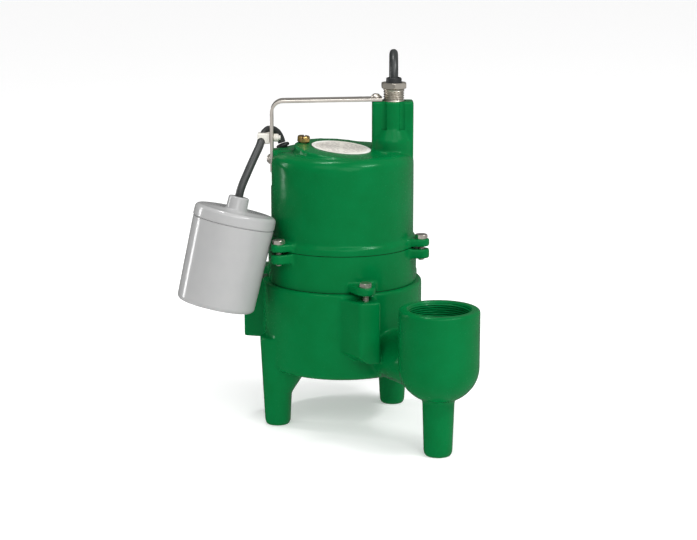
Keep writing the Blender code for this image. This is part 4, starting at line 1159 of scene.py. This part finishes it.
def makePlug():
    # a moulded plug whose ribbed relief swells into its body
    p = plug
    back = p["back"]
    body = block("plugBody", back + p["low"], back + p["high"], roundAll=p["edge"])
    thin, swell, length, rib, thick, end = p["relief"]
    ribs = [(thin + swell * i / 32 - (rib if i % 4 == 2 else 0.0), length * i / 32) for i in range(1, 33)]
    relief = turned("relief", [(thin, 0.0)] + ribs + [(thick, end)], 64)
    sideways = turnBy(90, "Y")
    relief.data.transform(Matrix.Translation(back) @ sideways)
    cut(body, relief, "UNION")
    settle(body, "pump", "black_plastic", "blackPlastic", "plug_body")
    face = back + p["face"]
    first = block("plugBladeLeft", *(face + corner for corner in p["blade"]), roundAll=0.0004, steps=2)
    start, stop, radius = p["bladeHole"]
    cut(first, rod("bladeHole", face + start, face + stop, radius))
    second = copyOf(first, "plugBladeRight", Matrix.Translation((0, p["bladeApart"], 0)))
    pin = turned("plugGroundPin", p["pin"], 32)
    pin.data.transform(Matrix.Translation(face + p["pinAt"]) @ sideways)
    for piece, node in ((first, "plug_blade_left"), (second, "plug_blade_right"), (pin, "plug_ground_pin")):
        settle(piece, "pump", "brass", "brass", node)


tie = {"half": 0.003, "thick": 0.001, "room": 0.0006, "head": (0.0042, 0.005), "headSpan": (0.0004, 0.001)}


def makeTie():
    # a flat band round the coil's three layers
    across = powerCord["diameter"]
    x, y = powerCord["coilCentre"][0], powerCord["coilCentre"][1] + powerCord["turnRadius"]
    half, thick = tie["half"], tie["thick"]
    reach = 1.5 * across + tie["room"]
    low, high = powerCord["floor"] - clear, powerCord["floor"] + 3 * across + clear
    start = (x - half, y - reach - thick, low - thick)
    end = (x + half, y + reach + thick, high + thick)
    piece = block("coilTie", start, end, roundAll=0.0006, steps=2)
    cut(piece, block("tieInside", (x - 0.01, y - reach, low), (x + 0.01, y + reach, high)))
    (wide, long), (headLow, headHigh) = tie["head"], tie["headSpan"]
    start, end = (x - wide, y - long, high + headLow), (x + wide, y + long, high + headHigh)
    cut(piece, block("tieHead", start, end, roundUpright=0.001), "UNION")
    settle(piece, "pump", "black_plastic", "blackPlastic", "coil_tie")


# Finishes on the frame's own solids, inside the casings and the float

inside = {
    "gasket": ("housing_gasket", "volute_gasket"),
    "lamination": ("stator_core", "rotor_core"),
    "copper": ("winding_top", "winding_bottom"),
    "ground": ("upper_bearing_outer", "lower_bearing_outer", "upper_bearing_inner", "lower_bearing_inner",
               "motor_shaft", "switch_ball"),
    "ceramic": ("seal_seat",),
    "rubber": ("rotary_seal",),
    "stainless": ("seal_spring",),
    "zinc": ("impeller_nut",),
    "blackPlastic": ("run_capacitor", "thermal_protector", "snap_switch"),
    "nylon": ("switch_tube",),
}


def finishInside():
    for key, nodes in inside.items():
        for node in nodes:
            for place in bpy.data.objects[node].material_slots:
                place.material = finishes[key]


# Floor and light

studio = {
    "floor": (0.88, 0.88, 0.88),
    "glow": 0.31,  # what the floor gives of itself, so that its shadows stay light
    "world": (0.04, 0.7),  # behind the pump, and in front of it
    "bright": (0.62, -0.78, 0.0),  # the way to the brightest side
    # azimuth from the front, towards the right; elevation; strength; width, all in degrees but the strength
    "suns": ((57, 58, 0.4, 36), (-30, 46, 0.45, 36), (14, 32, 0.8, 34)),
    # azimuth, elevation, distance, width, height, power
    "boxes": ((57, 51, 3.0, 0.95, 0.4, 30), (-133, 76, 1.5, 0.5, 0.14, 6), (-107, 10, 1.5, 0.2, 0.9, 6)),
}


def towards(azimuth, elevation):
    side, up = math.radians(azimuth), math.radians(elevation)
    return Vector((math.sin(side) * math.cos(up), -math.cos(side) * math.cos(up), math.sin(up)))


def makeStudio():
    fresh()
    bpy.ops.mesh.primitive_plane_add(size=60, location=(0, 0, -0.0004))
    floor = named("studioFloor")
    paper = Finish("paperFloor", Specular_IOR_Level=0.0, Roughness=1.0, Emission_Color=(1, 1, 1),
                   Emission_Strength=studio["glow"])
    paper.colour(studio["floor"])
    floor.data.materials.append(paper.material)
    floor.visible_glossy = False  # the gloss on the pump shows the lamps, as in a dark studio
    world = bpy.data.worlds.new("studioWorld")
    world.use_nodes = True
    sky = world.node_tree
    across = sky.nodes.new("ShaderNodeVectorMath")
    across.operation = "DOT_PRODUCT"
    across.inputs[1].default_value = studio["bright"]
    grade = sky.nodes.new("ShaderNodeMapRange")
    for socket, value in zip(grade.inputs[1:5], (-1, 1, *studio["world"])):
        socket.default_value = value
    sky.links.new(sky.nodes.new("ShaderNodeTexCoord").outputs["Generated"], across.inputs[0])
    sky.links.new(across.outputs["Value"], grade.inputs[0])
    sky.links.new(grade.outputs[0], sky.nodes["Background"].inputs["Strength"])
    sky.nodes["Background"].inputs["Color"].default_value = (1, 1, 1, 1)
    scene.world = world
    target = motorAxis + Vector((0, 0, 0.16))
    for azimuth, elevation, strength, width in studio["suns"]:
        way = towards(azimuth, elevation)
        bpy.ops.object.light_add(type="SUN", location=target + 3 * way)
        lamp = bpy.context.object
        lamp.rotation_euler = way.to_track_quat("Z", "Y").to_euler()
        lamp.data.energy, lamp.data.angle = strength, math.radians(width)
    for azimuth, elevation, distance, width, height, power in studio["boxes"]:
        way = towards(azimuth, elevation)
        bpy.ops.object.light_add(type="AREA", location=target + distance * way)
        lamp = bpy.context.object
        lamp.rotation_euler = way.to_track_quat("Z", "Y").to_euler()
        lamp.data.shape, lamp.data.energy = "RECTANGLE", power
        lamp.data.size, lamp.data.size_y = width, height
    scene.view_settings.view_transform = "Standard"


setCamera()
powerLine, powerPoints = makePowerCord()
makeTether()
print("camera and cords", round(lineLength(powerPoints), 3), "m of lead")
makeHousing()
makeSealPlate()
makeVolute()
print("castings")
makeBolts()
makeStrap()
makeScrews()
makeOilPlug()
makeNamePlate()
makeGland()
makeClip()
makeGrommet()
print("fasteners and fittings")
makeFloat()
makeImpeller()
makePlug()
makeTie()
print("float, impeller and plug")
finishInside()
makeStudio()
lineLength(powerPoints)
print("finishes and light")
